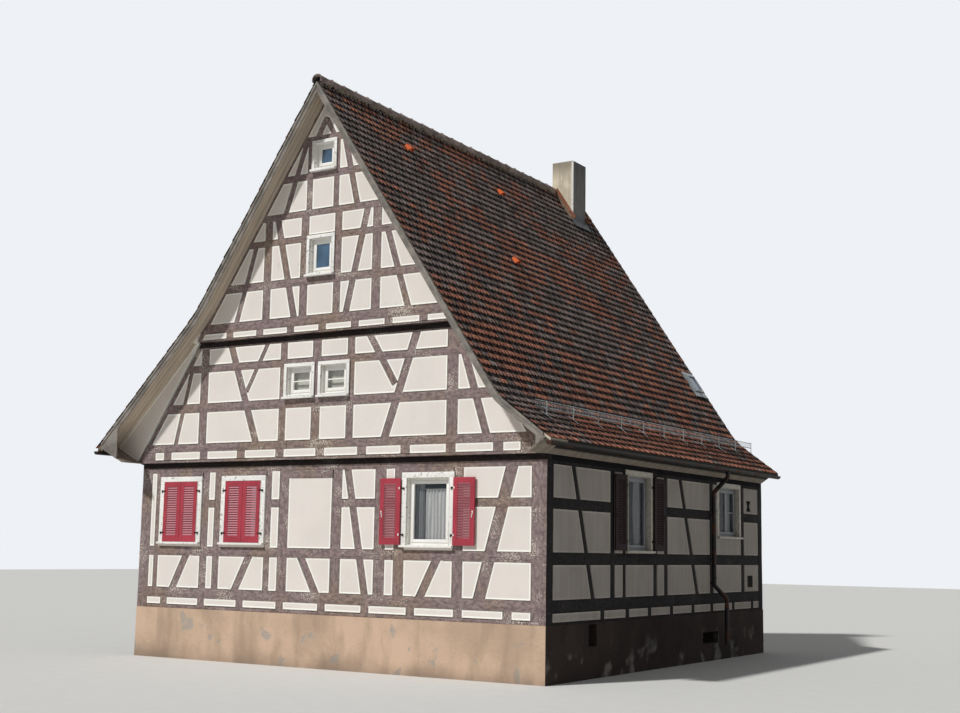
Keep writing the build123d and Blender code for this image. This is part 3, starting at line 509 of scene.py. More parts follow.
class Framing:
    """Timbers of one wall, cut one by one and joined at the end."""

    def __init__(self, wall, seed):
        self.wall = wall
        self.dice = random.Random(seed)
        self.timbers = []

    def beam(self, start, end, width, proud=0.0):
        """Timber along a line of the wall's face, with uneven worn edges."""
        own = sizes()
        start, end = Vector(start), Vector(end)
        run = end - start
        cuts = max(1, round(run.length / 0.4))
        bar = primitive(bpy.ops.mesh.primitive_grid_add, x_subdivisions=cuts, y_subdivisions=1, size=1.0)
        bar.data.uv_layers[0].name = "Grain"
        bar.data.transform(Matrix.Diagonal((run.length, width, 1.0, 1.0)))
        edit_whole(bar)
        bpy.ops.transform.vertex_random(offset=own.timber_wander, seed=self.dice.randrange(9999))
        close()
        thicken(bar, TIMBER_DEPTH - 0.01)
        finish_edges(bar, own.timber_bevel)
        edit_whole(bar)
        bpy.ops.uv.cube_project(cube_size=1.0, scale_to_bounds=False)
        close()
        shift = self.dice.uniform(0, 40), self.dice.uniform(0, 40)
        for corner in bar.data.uv_layers["Grain"].data:
            corner.uv = corner.uv[0] + shift[0], corner.uv[1] + shift[1]
        middle = (start + end) / 2
        turn = Matrix.Rotation(math.atan2(run.y, run.x), 4, "Z")
        proud += self.dice.uniform(-0.001, 0.001) - TIMBER_SET
        bar.data.transform(self.wall @ Matrix.Translation((middle.x, middle.y, proud)) @ turn)
        self.timbers.append(bar)

    def rail(self, levels, start, end, proud=0.0):
        """Level timber between two heights."""
        bottom, top = levels
        middle = (bottom + top) / 2
        self.beam((start, middle), (end, middle), top - bottom, proud)

    def rails(self, levels, ends, proud=0.0):
        for start, end in ends:
            self.rail(levels, start, end, proud)

    def post(self, centre, width, bottom, top, proud=-0.002):
        """Upright timber."""
        self.beam((centre, bottom), (centre, top), width, proud)

    def tie(self, levels, proud=0.0):
        """Rail from rafter to rafter."""
        end = rafter_out(levels[0]) + 0.01
        self.rail(levels, -end, end, proud)

    def brace(self, foot, head, width):
        """Slanting timber."""
        self.beam(foot, head, width, -0.004)

    def done(self, name, node):
        """The wall's frame as one piece, which stands for its node."""
        piece = surface(joined(name, self.timbers), "street_timber" if "street" in name else "gable_timber")
        return settle(piece, "timber", node)


# Finishes


# Fixed colours of dirt, growth, painted shade and small parts
JETTY_SHADE = paint("141113")
FOOT_DIRT = paint("6d6156")
LICHEN = paint("a8a597")
TILE_SHADE = paint("0b0908")
GUTTER_SHADE = paint("0b0a0a")
CHIMNEY_SOOT = paint("665f55")
CHIMNEY_PAINTED_SHADE = paint("55565c"), paint("6a6b70")
STREET_CASEMENT = paint("7b7c80")


def plain_finish(name, colour, roughness=0.7, scale=3.0, contrast=0.25, relief=0.001):
    """Painted or bare surface with soft mottling and fine relief."""
    finish = Finish(name, roughness)
    broad = finish.noise(scale, 5.0)
    fine = finish.noise(scale * 14, 3.0)
    mottling = broad * 0.7 + fine * 0.3
    finish.feed("Base Color", finish.tones(mottling, 0.3, 0.7, colour, 1 - contrast, 1 + contrast))
    finish.bump(fine, relief)
    return finish.material


def timber_finish(name, colour, brown, flake, grained=True, side=None):
    """Weathered paint on oak: fibres along the timber, dark checks, pale flakes and brown patches."""
    finish = Finish(name, 0.85)
    grain = finish.grain() if grained else finish.place
    fibre = finish.noise(9.0, 5.0, finish.stretched((0.35, 3.0, 3.0), grain))
    blotch = finish.noise(17.0, 4.0, finish.stretched((0.6, 1.0, 1.0), grain))
    speck = finish.noise(34.0, 3.0, finish.stretched((1.0, 1.2, 1.0), grain))
    broad = finish.noise(0.8, 3.0)
    patch = finish.noise(1.7, 3.0, finish.stretched((1.0, 1.0, 1.6)))
    paint_coat = finish.tones(blotch, 0.3, 0.7, colour, 0.72, 1.3)
    worn = finish.range(broad + blotch * 0.3, 0.62, 0.8) * 0.5
    bare = finish.mix(finish.range(blotch, 0.35, 0.65), shade(brown, 0.65), brown)
    coat = finish.mix(worn, paint_coat, bare)
    coat = finish.mix(finish.range(fibre, 0.4, 0.3) * 0.65, coat, shade(colour, 0.22))
    flakes = finish.range(speck + patch * 0.8, 1.03, 1.12)
    coat = finish.mix(flakes * 0.75, coat, flake)
    if grained:
        height = finish.axis("Z")
        # Painted shade: the timbers are darkened to near-black in a band just under each jetty.
        for top in (GROUND + WALL_TOP, GROUND + LOWER_TOP):
            foot = finish.range(height, top - 0.115, top - 0.095)
            head = finish.range(height, top + 0.004, top - 0.002)
            coat = finish.mix(foot * head * 0.9, coat, JETTY_SHADE)
    if side:
        sideways = finish.facing("X")
        coat = finish.mix(finish.range(sideways * sideways, 0.6, 0.85), coat, side)
    finish.feed("Base Color", coat)
    finish.feed("Roughness", 0.95 - flakes * 0.25)
    finish.bump(fibre * 0.6 + blotch * 0.4 + flakes * 0.3, 0.006)
    return finish.material


def plaster_finish(name, colour, contrast, streaks):
    """Brushed lime paint with faint clouds, fine grain and upright streaks."""
    finish = Finish(name, 0.92)
    cloud = finish.noise(1.3, 4.0)
    grain = finish.noise(70.0, 4.0)
    run = finish.noise(7.0, 4.0, finish.stretched((1.0, 1.0, 0.1)))
    level = finish.range(cloud * (1 - streaks) + run * streaks, 0.32, 0.68)
    coat = finish.mix(level, shade(colour, 1 - contrast), shade(colour, 1 + contrast))
    spots = finish.range(finish.noise(5.5, 5.0), 0.66, 0.74) * 0.22
    coat = finish.mix(spots, coat, shade(colour, 0.6))
    finish.feed("Base Color", coat)
    finish.feed("Roughness", 0.96 - level * 0.1)
    finish.bump(grain * 0.6 + cloud, 0.004)
    return finish.material


def dress(material, *nodes):
    """Gives CAD nodes a material."""
    for node in nodes:
        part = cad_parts[node]
        if not part.material_slots:
            part.data.materials.append(material)
        for slot in part.material_slots:
            slot.material = material


class HOUSE_OT_finishes(bpy.types.Operator):
    """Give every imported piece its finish"""

    bl_idname = "house.finishes"
    bl_label = "Finishes"

    def execute(self, context):
        own = colours()
        self.walls(own)
        self.plinth(own)
        self.roof(own)
        self.timber_boards(own)
        self.chimney(own)
        self.windows(own)
        self.shutters(own)
        for name, colour, stain, roughness, metallic, nodes in (
            ("metal", own.metal, paint("5b3b2a"), 0.55, 0.6, ["gutters", "downpipes"]),
            ("dull_zinc", own.zinc, paint("5e5a54"), 0.45, 0.8, ["snow_guard", "skylight_frame"]),
            ("iron", paint("26221f"), paint("4a2c1e"), 0.7, 0.4, ["pintles"]),
            ("copper", paint("8a5a45"), paint("b39479"), 0.7, 0.2, []),
            ("lead", paint("3b3d40"), paint("6b6d6e"), 0.6, 0.3, []),
        ):
            dress(self.metal(name, colour, stain, roughness, metallic), *nodes)
        # Painted shade: near-black for the dark insides of the wall vents.
        plain_finish("void", paint("060606"), 0.95, contrast=0.3)
        return {"FINISHED"}

    def walls(self, own):
        timber_finish("gable_timber", own.timber, own.timber_brown, own.timber_flake, side=own.street_timber)
        gable = timber_finish("joist_ends", own.timber, own.timber_brown, own.timber_flake, grained=False)
        dress(gable, "gable_frame_ground", "gable_frame_lower", "gable_frame_upper")
        dress(gable, "floor_attic_1", "floor_attic_2", "floor_attic_3")
        street = shade(own.street_timber, 1.5)
        timber_finish("street_timber", own.street_timber, street, own.street_flake)
        side = timber_finish("street_joists", own.street_timber, street, own.street_flake, grained=False)
        dress(side, "street_frame", "court_frame", "floor_ground")
        plaster = plaster_finish("gable_plaster", own.plaster, 0.03, 0.2)
        dress(plaster, "gable_infill_ground", "gable_infill_lower", "gable_infill_upper")
        side = plaster_finish("street_plaster", own.street_plaster, 0.09, 0.5)
        dress(side, "street_infill", "court_infill")
        plaster_finish("border", own.border, 0.015, 0.3)
        plaster_finish("street_border", shade(own.street_plaster, 1.22), 0.1, 0.4)

    def plinth(self, own):
        """Salmon render on the gable, dirtier towards the ground; the sides are dark with a salt bloom."""
        finish = Finish("plinth", 0.93)
        height = finish.axis("Z")
        broad, fine = finish.noise(1.1, 5.0), finish.noise(26.0, 4.0)
        front = finish.tones(broad + fine * 0.2, 0.42, 0.78, own.plinth, 0.84, 1.1)
        streak = finish.range(finish.noise(3.0, 5.0, finish.stretched((1.0, 1.0, 0.25))), 0.5, 0.68) * 0.45
        front = finish.mix(streak, front, shade(own.plinth, 0.6))
        bare = finish.range(finish.noise(2.1, 6.0, distortion=0.4), 0.62, 0.67)
        front = finish.mix(bare * 0.7, front, own.salt)
        front = finish.mix(finish.range(height + broad * 0.5, 0.62, 0.12) * 0.6, front, FOOT_DIRT)
        side = finish.tones(broad + fine * 0.25, 0.42, 0.8, own.street_plinth, 0.6, 1.35)
        bloom = finish.range(finish.noise(1.9, 7.0), 0.55, 0.7) * finish.range(height, 0.8, 0.2)
        side = finish.mix(bloom * 0.6, side, own.salt)
        sideways = finish.facing("X")
        outside = finish.range(sideways * sideways, 0.3, 0.6)
        inside = finish.range(finish.axis("Y"), GABLE + 0.05, GABLE + 0.1)
        turned = finish.node("ShaderNodeMath", {"operation": "MAXIMUM"}, {0: outside, 1: inside})
        finish.feed("Base Color", finish.mix(turned, front, side))
        finish.bump(fine * 0.5 + broad + bare * -0.3, 0.012)
        dress(finish.material, "plinth")

    def roof(self, own):
        finish = Finish("tiles", 0.86)
        tone, rust, reach = finish.mark("tone"), finish.mark("rust"), finish.mark("reach")
        fine, broad = finish.noise(38.0, 4.0), finish.noise(1.4, 4.0)
        dark = finish.mix(tone, shade(own.tile, 0.6), shade(own.tile, 1.35))
        red = finish.mix(tone, shade(own.rust, 0.72), shade(own.rust, 1.2))
        coat = finish.mix(finish.range(rust + fine * 0.4 - 0.2, 0.3, 0.62), dark, red)
        soot = finish.range(fine * 0.6 + broad * 0.4, 0.5, 0.66)
        coat = finish.mix(soot * 0.5, coat, shade(own.tile, 0.42))
        lichen = finish.range(finish.noise(30.0, 2.0), 0.72, 0.76)
        coat = finish.mix(lichen * 0.7, coat, LICHEN)
        # Painted shade: near-black at each tile's sides and over the upper part of each tile, where the nose
        # of the tile above throws its shadow.
        coat = finish.mix(finish.range(finish.mark("edge"), 0.8, 1.0) * 0.7, coat, TILE_SHADE)
        coat = finish.mix(finish.range(reach + fine * 0.1, 0.76, 0.64) * 0.97, coat, TILE_SHADE)
        finish.feed("Base Color", coat)
        finish.feed("Roughness", 0.92 - tone * 0.12)
        finish.bump(fine, 0.004)
        dress(finish.material, "roof_tiles_street", "roof_tiles_court")
        ridge = plain_finish("ridge", shade(own.tile, 0.85), 0.88, scale=4.0, contrast=0.45, relief=0.004)
        dress(ridge, "ridge_tiles")
        plain_finish("mortar", shade(own.render, 0.3), 0.95, scale=7.0, contrast=0.35, relief=0.004)
        plain_finish("vent_tile", own.vent, 0.7, scale=9.0, contrast=0.2, relief=0.002)

    def timber_boards(self, own):
        """Boards under the roof, one beside the other, with a dark joint between them."""
        finish = Finish("boards", 0.8)
        along = finish.axis("Y")
        joint = finish.range(finish.fold(along, 0.125), 0.007, 0.002)
        streak = finish.noise(6.0, 4.0, finish.stretched((0.15, 4.0, 0.15)))
        coat = finish.tones(streak, 0.3, 0.7, own.soffit, 1.1, 1.6)
        coat = finish.mix(joint * 0.85, coat, shade(own.soffit, 0.3))
        # The boards get the painted shade next to the gutters.
        finish.feed("Base Color", self.gutter_shade_band(finish, coat))
        finish.bump(1 - joint, 0.004)
        dress(finish.material, "roof_boards_street", "roof_boards_court")
        for name, colour, node in (
            ("soffit", shade(own.soffit, 0.62), "eaves_soffits"), ("barge", own.barge, "barge_boards")
        ):
            finish = Finish(name, 0.75)
            streak = finish.noise(5.0, 5.0, finish.stretched((0.6, 3.0, 1.0)))
            worn = finish.range(finish.noise(19.0, 4.0), 0.58, 0.68)
            coat = finish.tones(streak, 0.3, 0.7, colour, 0.7, 1.18)
            coat = finish.mix(worn * 0.6, coat, shade(colour, 0.5))
            # The soffits get the painted shade next to the gutters.
            finish.feed("Base Color", self.gutter_shade_band(finish, coat) if name == "soffit" else coat)
            finish.bump(streak * 0.5 + worn * -0.4, 0.003)
            dress(finish.material, node)

    def gutter_shade_band(self, finish, coat):
        """Painted shade: a near-black band on the boards and soffits under the eaves, next to the gutters."""
        out, behind = finish.axis("X") - MIDDLE, finish.range(finish.axis("Y"), GABLE - 0.02, GABLE)
        shade_band = finish.range(out * out, (HALF_WIDTH + 0.1) ** 2, (HALF_WIDTH + 0.15) ** 2) * behind
        return finish.mix(shade_band * 0.93, coat, GUTTER_SHADE)

    def chimney(self, own):
        """Rough render with sooty streaks; its street face has painted shade. The pale strip on its near
        arris, a painted highlight, comes with the roof fittings.
        """
        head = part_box("chimney")[1].z
        finish = Finish("chimney_render", 0.93)
        height = finish.axis("Z")
        broad, fine = finish.noise(3.2, 5.0), finish.noise(30.0, 4.0)
        run = finish.noise(9.0, 4.0, finish.stretched((1.0, 1.0, 0.12)))
        coat = finish.tones(broad + fine * 0.3, 0.45, 0.85, own.render, 0.82, 1.1)
        coat = finish.mix(finish.range(run, 0.52, 0.66) * 0.4, coat, shade(own.render, 0.55))
        soot = finish.range(height + broad * 0.5, head - 0.25, head + 0.25) * 0.65
        coat = finish.mix(soot, coat, CHIMNEY_SOOT)
        # Painted shade: the chimney's street face is turned grey-dark.
        turned = finish.range(finish.facing("X"), 0.4, 0.7)
        coat = finish.mix(turned * 0.85, coat, finish.mix(finish.range(run, 0.4, 0.6), *CHIMNEY_PAINTED_SHADE))
        finish.feed("Base Color", coat)
        finish.bump(fine * 0.7 + broad, 0.01)
        dress(finish.material, "chimney", "party_wall")

    def windows(self, own):
        for name, colour, spread in (("trim", own.trim, 0.72), ("street_trim", own.street_trim, 0.66)):
            finish = Finish(name, 0.55)
            broad, peel = finish.noise(2.4, 4.0), finish.noise(21.0, 5.0, distortion=0.3)
            coat = finish.tones(broad, 0.3, 0.7, colour, 0.93, 1.03)
            bare = finish.range(peel + broad * 0.2, spread, spread + 0.05)
            finish.feed("Base Color", finish.mix(bare * 0.8, coat, own.bare_trim))
            finish.feed("Roughness", 0.5 + bare * 0.35)
            finish.bump(peel * 0.3 + bare * -0.5, 0.0015)
        dress(bpy.data.materials["trim"], "surrounds_gable")
        dress(bpy.data.materials["street_trim"], "surrounds_sides")
        dress(plain_finish("casement", own.trim, 0.35, contrast=0.03, relief=0.0004), "sashes_gable")
        street = plain_finish("street_casement", STREET_CASEMENT, 0.5, contrast=0.08, relief=0.0004)
        dress(street, "sashes_sides")
        finish = Finish("window_glass", 0.04)
        finish.shader.inputs["Specular IOR Level"].default_value = 0.6
        height = finish.axis("Z")
        # Painted reflection: above the lower attic the glass is coloured like a cloudy sky and made nearly
        # opaque.
        attic = finish.range(height, GROUND + 6.0, GROUND + 6.1)
        cloud = finish.range(finish.noise(2.5, 2.0), 0.35, 0.65)
        painted_sky = finish.mix(cloud, shade(own.painted_sky_reflection, 0.7), shade(own.painted_sky_reflection, 1.15))
        finish.feed("Base Color", finish.mix(attic, own.glass, painted_sky))
        finish.feed("Alpha", 0.16 + attic * 0.74)
        dress(finish.material, "panes_gable", "panes_sides")
        # Painted reflection: the roof window's glass is sky blue.
        dress(plain_finish("roof_glass", own.painted_sky_reflection, 0.06, contrast=0.25), "skylight_pane")
        for name, colour, scale in (
            ("net", own.cloth, 160.0),
            # Painted shade: a darker copy of the white net, for the street's curtains and the left curtain of
            # the gable's third window.
            ("street_net", shade(own.cloth, 0.45), 160.0),
            ("blind", own.blind, 90.0),
        ):
            finish = Finish(name, 0.9)
            weave = finish.noise(scale, 2.0, finish.stretched((1.0, 1.0, 0.5)))
            motif = finish.range(finish.noise(scale * 0.2, 2.0), 0.45, 0.6)
            coat = finish.mix(motif * 0.4, shade(colour, 1.05), shade(colour, 0.85))
            threads = finish.range(weave, 0.4, 0.65) * 0.25
            finish.feed("Base Color", finish.mix(threads, coat, shade(colour, 0.7)))
            finish.shader.inputs["Sheen Weight"].default_value = 0.2
            finish.bump(weave, 0.001)

    def shutters(self, own):
        """Old gloss paint, pale on the slats' tilted faces, up and down alike: partly chalky wear, partly a
        painted highlight.
        """
        street = ("shutter_street_near", "shutter_street_far")
        leaves = [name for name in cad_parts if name.startswith("shutter") and name not in street]
        dull = [0.5 * (first + second) for first, second in zip(own.street_shutter, shade(own.chalk_and_highlight, 0.06))]
        for name, colour, pale, roughness, nodes in (
            ("shutter", own.shutter, own.chalk_and_highlight, 0.45, leaves),
            ("street_shutter", own.street_shutter, dull, 0.85, street),
        ):
            finish = Finish(name, 0.5)
            finish.shader.inputs["Specular IOR Level"].default_value = 0.3
            broad, fine = finish.noise(2.0, 4.0), finish.noise(28.0, 4.0)
            coat = finish.tones(broad + fine * 0.3, 0.45, 0.85, colour, 0.84, 1.15)
            # Painted highlight and chalky wear: the slats' tilted faces are paled.
            tilted = finish.facing("Z")
            chalk_and_highlight = finish.range(tilted * tilted, 0.06, 0.25)
            coat = finish.mix(chalk_and_highlight * 0.6, coat, pale)
            coat = finish.mix(finish.range(fine, 0.6, 0.7) * 0.4, coat, shade(colour, 0.5))
            finish.feed("Base Color", coat)
            finish.feed("Roughness", roughness + chalk_and_highlight * 0.12)
            finish.bump(fine, 0.0015)
            dress(finish.material, *nodes)

    def metal(self, name, colour, stain, roughness, metallic):
        """Weathered metal with dull streaks and stains."""
        finish = Finish(name, roughness, metallic)
        broad, fine = finish.noise(4.0, 5.0), finish.noise(40.0, 4.0)
        coat = finish.tones(fine, 0.3, 0.7, colour, 0.75, 1.2)
        stained = finish.range(broad + fine * 0.3, 0.66, 0.8)
        finish.feed("Base Color", finish.mix(stained * 0.7, coat, stain))
        finish.feed("Roughness", roughness + stained * 0.3)
        finish.bump(fine, 0.001)
        return finish.material


class HOUSE_OT_gable_frame(bpy.types.Operator):
    """Build the gable's timbers, storey by storey"""

    bl_idname = "house.gable_frame"
    bl_label = "Gable frame"

    def execute(self, context):
        self.ground_storey()
        self.lower_attic()
        self.upper_attics()
        return {"FINISHED"}

    def ground_storey(self):
        sole, sill_rail, head_rail, plate = (0.21, 0.42), (1.06, 1.25), (2.03, 2.19), (2.74, WALL_TOP)
        corner = 0.3
        wall = Framing(GROUND_WALL, 3)
        for centre, width in [
            (0.485 - HALF_WIDTH, 0.13), (-3.065, 0.2), (-2.725, 0.18), (-1.395, 0.16), (-1.0, 0.25),
            (0.3, 0.25), (1.325, 0.26), (1.765, 0.24), (3.05, 0.23),
        ]:
            wall.post(centre, width, sole[1] - LONG_LAP, plate[0] + LONG_LAP)
        wall.rail((0.0, 0.08), -HALF_WIDTH, HALF_WIDTH, -0.003)
        wall.rails(sole, [(-HALF_WIDTH, 0.9), (0.9, HALF_WIDTH)])
        wall.rails(sill_rail, [(-HALF_WIDTH, -1.0), (-1.0, 1.6), (1.6, HALF_WIDTH)])
        wall.rails(plate, [(-HALF_WIDTH, 1.3), (1.3, HALF_WIDTH)])
        for side in (-1, 1):
            wall.post(side * (HALF_WIDTH - corner / 2), corner, 0.0, WALL_TOP, 0.001)
        heads = [(-2.965, -2.815), (-1.315, -1.125), (0.425, 1.195), (1.455, 1.645)]
        heads.append((3.165, HALF_WIDTH - corner))
        wall.rails(head_rail, heads, -0.001)
        lintel = (2.655, plate[0] + 0.01)
        wall.rails(lintel, [(-4.33, -3.15), (-2.65, -1.46), (1.87, 2.95)], LINTEL_PROUD)
        wall.rail((2.595, plate[0] + 0.01), -0.89, 0.19, LINTEL_PROUD)
        for foot, head in [(-0.165, -0.52), (2.26, 2.59), (-3.87, -3.54), (-2.185, -1.855)]:
            wall.brace((foot, sole[1] - LONG_LAP), (head, sill_rail[0] + LONG_LAP), 0.18)
        wall.brace((1.01, sole[1] - LAP), (0.55, plate[0] + LAP), 0.167)
        wall.brace((3.52, sole[1] - LAP), (4.165, plate[0] + LAP), 0.25)
        for step in range(-4, 5):
            wall.post(step * 1.025, 0.19, 0.06, sole[0] + 0.02, 0.0)
        wall.done("timbers_ground", "gable_frame_ground")

    def lower_attic(self):
        sole, plate = (3.16, 3.33), (5.26, LOWER_TOP)
        rails = [(3.96, 4.15), (4.78, 4.94)]
        wall = Framing(LOWER_WALL, 5)
        for centre, width in [(-3.115, 0.22), (-1.025, 0.18), (-0.195, 0.22), (0.635, 0.18), (2.96, 0.25)]:
            wall.post(centre, width, sole[1] - LONG_LAP, plate[0] + LONG_LAP)
        self.rafters(wall, WALL_TOP, LOWER_TOP)
        wall.rails((WALL_TOP, 3.01), [(-HALF_WIDTH, 0.2), (0.2, HALF_WIDTH)], -0.002)
        wall.rails(sole, [(-HALF_WIDTH + 0.06, -0.9), (-0.9, HALF_WIDTH - 0.06)])
        wall.tie(rails[0])
        wall.tie(rails[1])
        wall.tie(plate)
        row = (3.01, sole[0])
        wall.rail(row, -HALF_WIDTH, 0.465 - HALF_WIDTH)
        wall.rail(row, HALF_WIDTH - 0.465, HALF_WIDTH)
        foot, head = sole[1] - LAP, plate[0] + LAP
        wall.brace((-3.852, foot), (-3.483, rails[1][0] + LAP), 0.115)
        wall.brace((-1.67, foot), (-2.42, head), 0.17)
        wall.brace((-1.96, rails[0][1] + 0.2), (-1.455, head), 0.105)
        wall.brace((1.66, rails[0][1] + 0.19), (1.07, head), 0.15)
        wall.brace((1.46, foot), (2.16, head), 0.18)
        wall.brace((3.7, foot), (3.14, rails[1][1] + 0.07), 0.16)
        wall.done("timbers_lower", "gable_frame_lower")

    def upper_attics(self):
        sole, collar = (5.55, 5.75), (RIDGE_HEIGHT - 2.67, RIDGE_HEIGHT - 2.53)
        rails = [(6.35, 6.52), (7.22, 7.36)]
        tops = [(RIDGE_HEIGHT - 1.93, RIDGE_HEIGHT - 1.78), (RIDGE_HEIGHT - 1.2, RIDGE_HEIGHT - 1.04)]
        wall = Framing(UPPER_WALL, 8)
        for centre, width in [(-1.435, 0.2), (-0.5, 0.2), (0.325, 0.18), (1.26, 0.21)]:
            wall.post(centre, width, sole[1] - LONG_LAP, collar[0] + LONG_LAP)
        for centre, width in [(-0.42, 0.15), (0.245, 0.14)]:
            wall.post(centre, width, collar[1] - LAP, tops[1][0] + LAP)
        self.rafters(wall, LOWER_TOP, RIDGE_HEIGHT)
        wall.tie((LOWER_TOP, 5.44), -0.002)
        for levels in (sole, rails[0], collar, tops[0], tops[1]):
            wall.tie(levels)
        end = rafter_out(rails[1][0]) + 0.01
        window, top = UPPER_WINDOWS[0], UPPER_WINDOWS[0][3]
        wall.rail(rails[1], -end, window[0] - window[1] / 2 - 0.002)
        wall.rail(rails[1], window[0] + window[1] / 2 + 0.002, end)
        wall.rail((top + 0.002, rails[1][1]), window[0] - 0.32, window[0] + 0.32, -0.001)
        foot, head = sole[1] - LAP, rails[1][0] + 0.03
        wall.brace((-0.71, foot), (-1.215, collar[0] + LAP), 0.16)
        wall.brace((0.555, foot), (1.03, collar[0] + LAP), 0.155)
        wall.brace((-2.21, foot), (-1.755, head), 0.13)
        wall.brace((2.02, foot), (1.515, head), 0.14)
        foot, head = collar[1] - 0.03, tops[1][0] + 0.03
        wall.brace((-1.02, foot), (-0.545, head), 0.14)
        wall.brace((0.77, foot), (0.425, head), 0.14)
        wall.brace((-0.255, tops[1][1] - 0.03), (-0.06, tops[1][1] + 0.33), 0.15)
        wall.brace((0.145, tops[1][1] - 0.03), (-0.03, tops[1][1] + 0.29), 0.12)
        wall.done("timbers_upper", "gable_frame_upper")

    def rafters(self, wall, low, high):
        """The pair of rafters under the roof, between two heights."""
        inner, outer = RAFTER_DEPTH, 0.045
        middle = (inner + outer) / 2
        top = min(high, RIDGE_HEIGHT - middle / math.cos(MAIN_PITCH))
        for side in (-1, 1):
            foot, head = (side * rafter_out(low, middle), low), (side * rafter_out(top, middle), top)
            wall.beam(foot, head, inner - outer, 0.003)


class HOUSE_OT_side_frames(bpy.types.Operator):
    """Build the timbers of the street side and of the court side"""

    bl_idname = "house.side_frames"
    bl_label = "Side frames"

    def execute(self, context):
        sole, sill_rail, head_rail, plate = (0.2, 0.43), (1.03, 1.25), (2.0, 2.2), (2.78, WALL_TOP)
        far_post, last_post = DEPTH - 3.13, DEPTH - 1.29
        wall = Framing(STREET_WALL, 12)
        for centre, width in [
            (2.55, 0.21), (3.05, 0.16), (4.45, 0.2), (4.965, 0.19), (far_post, 0.22), (last_post, 0.22)
        ]:
            wall.post(centre, width, sole[1] - LONG_LAP, plate[0] + LAP)
        back = DEPTH - 0.32
        wall.rail((0.0, 0.05), 0.185, DEPTH - 0.006, -0.003)
        wall.rails(sole, [(0.2, 5.4), (5.4, back + 0.02)])
        wall.rails(sill_rail, [(0.2, 3.7), (3.7, back + 0.02)])
        wall.rails(plate, [(0.2, 4.6), (4.6, back + 0.02)])
        wall.post(0.2175, 0.065, 0.0, WALL_TOP, 0.001)
        wall.post(DEPTH - 0.163, 0.314, 0.0, WALL_TOP, 0.001)
        heads = [(0.24, 2.46), (5.05, far_post - 0.1), (last_post + 0.1, back + 0.02)]
        wall.rails(head_rail, heads, -0.001)
        wall.brace((1.77, sole[1] - LAP), (0.97, plate[0] + LAP), 0.17)
        wall.brace((far_post - 0.79, sole[1] - LAP), (far_post - 1.68, plate[0] + LAP), 0.19)
        street = wall.done("timbers_street", "street_frame")
        court = copy_of(street, MIRROR, "timbers_court")
        settle(court, "timber", "court_frame")
        return {"FINISHED"}


class HOUSE_OT_panels(bpy.types.Operator):
    """Give each plaster panel its painted border and its fine step"""

    bl_idname = "house.panels"
    bl_label = "Plaster panels"

    def execute(self, context):
        gable = ("gable_plaster", "border")
        self.panels("gable_infill_ground", GROUND_WALL, "panels_ground", gable, GROUND_WINDOWS)
        self.panels("gable_infill_lower", LOWER_WALL, "panels_lower", gable, LOWER_WINDOWS)
        self.panels("gable_infill_upper", UPPER_WALL, "panels_upper", gable, UPPER_WINDOWS)
        sides = ("street_plaster", "street_border")
        self.panels("street_infill", STREET_WALL, "panels_street", sides, STREET_WINDOWS + WALL_VENTS)
        self.panels("court_infill", COURT_WALL, "panels_court", sides, STREET_WINDOWS + WALL_VENTS)
        return {"FINISHED"}

    def panels(self, node, wall, name, finishes, openings):
        """Panels of one wall; those round an opening stay plain."""
        own = sizes()
        piece = node_copy(node, name)
        plaster, border = finishes
        surface(piece, border, plaster)
        out = wall.to_3x3().col[2].normalized()
        face = wall.inverted()
        mesh = piece.data

        def is_front(polygon):
            if polygon.normal.dot(out) < 0.99 or (face @ polygon.center).z < PLASTER_PROUD / 2:
                return False
            corners = [face @ mesh.vertices[place].co for place in polygon.vertices]
            left, right = min(corner.x for corner in corners), max(corner.x for corner in corners)
            bottom, top = min(corner.y for corner in corners), max(corner.y for corner in corners)
            for centre, width, low, high in openings:
                if left < centre + width / 2 and right > centre - width / 2 and bottom < high and top > low:
                    return False
            rim = sum((corner - corners[place - 1]).length for place, corner in enumerate(corners))
            return 2 * polygon.area / rim > own.panel_border * 1.6

        edit(piece, is_front, "polygons")
        bpy.ops.mesh.inset(thickness=own.panel_border, depth=-own.panel_step, use_individual=True)
        close()
        for polygon in mesh.polygons:
            spot = face @ polygon.center
            near_opening = any(
                abs(spot.x - centre) < width and low - 0.6 < spot.y < high + 0.3
                for centre, width, low, high in openings
            )
            plain = near_opening and polygon.area > 0.02 and polygon.normal.dot(out) > 0.99
            polygon.material_index = 1 if polygon.select or plain else 0
        settle(piece, "plaster", node)


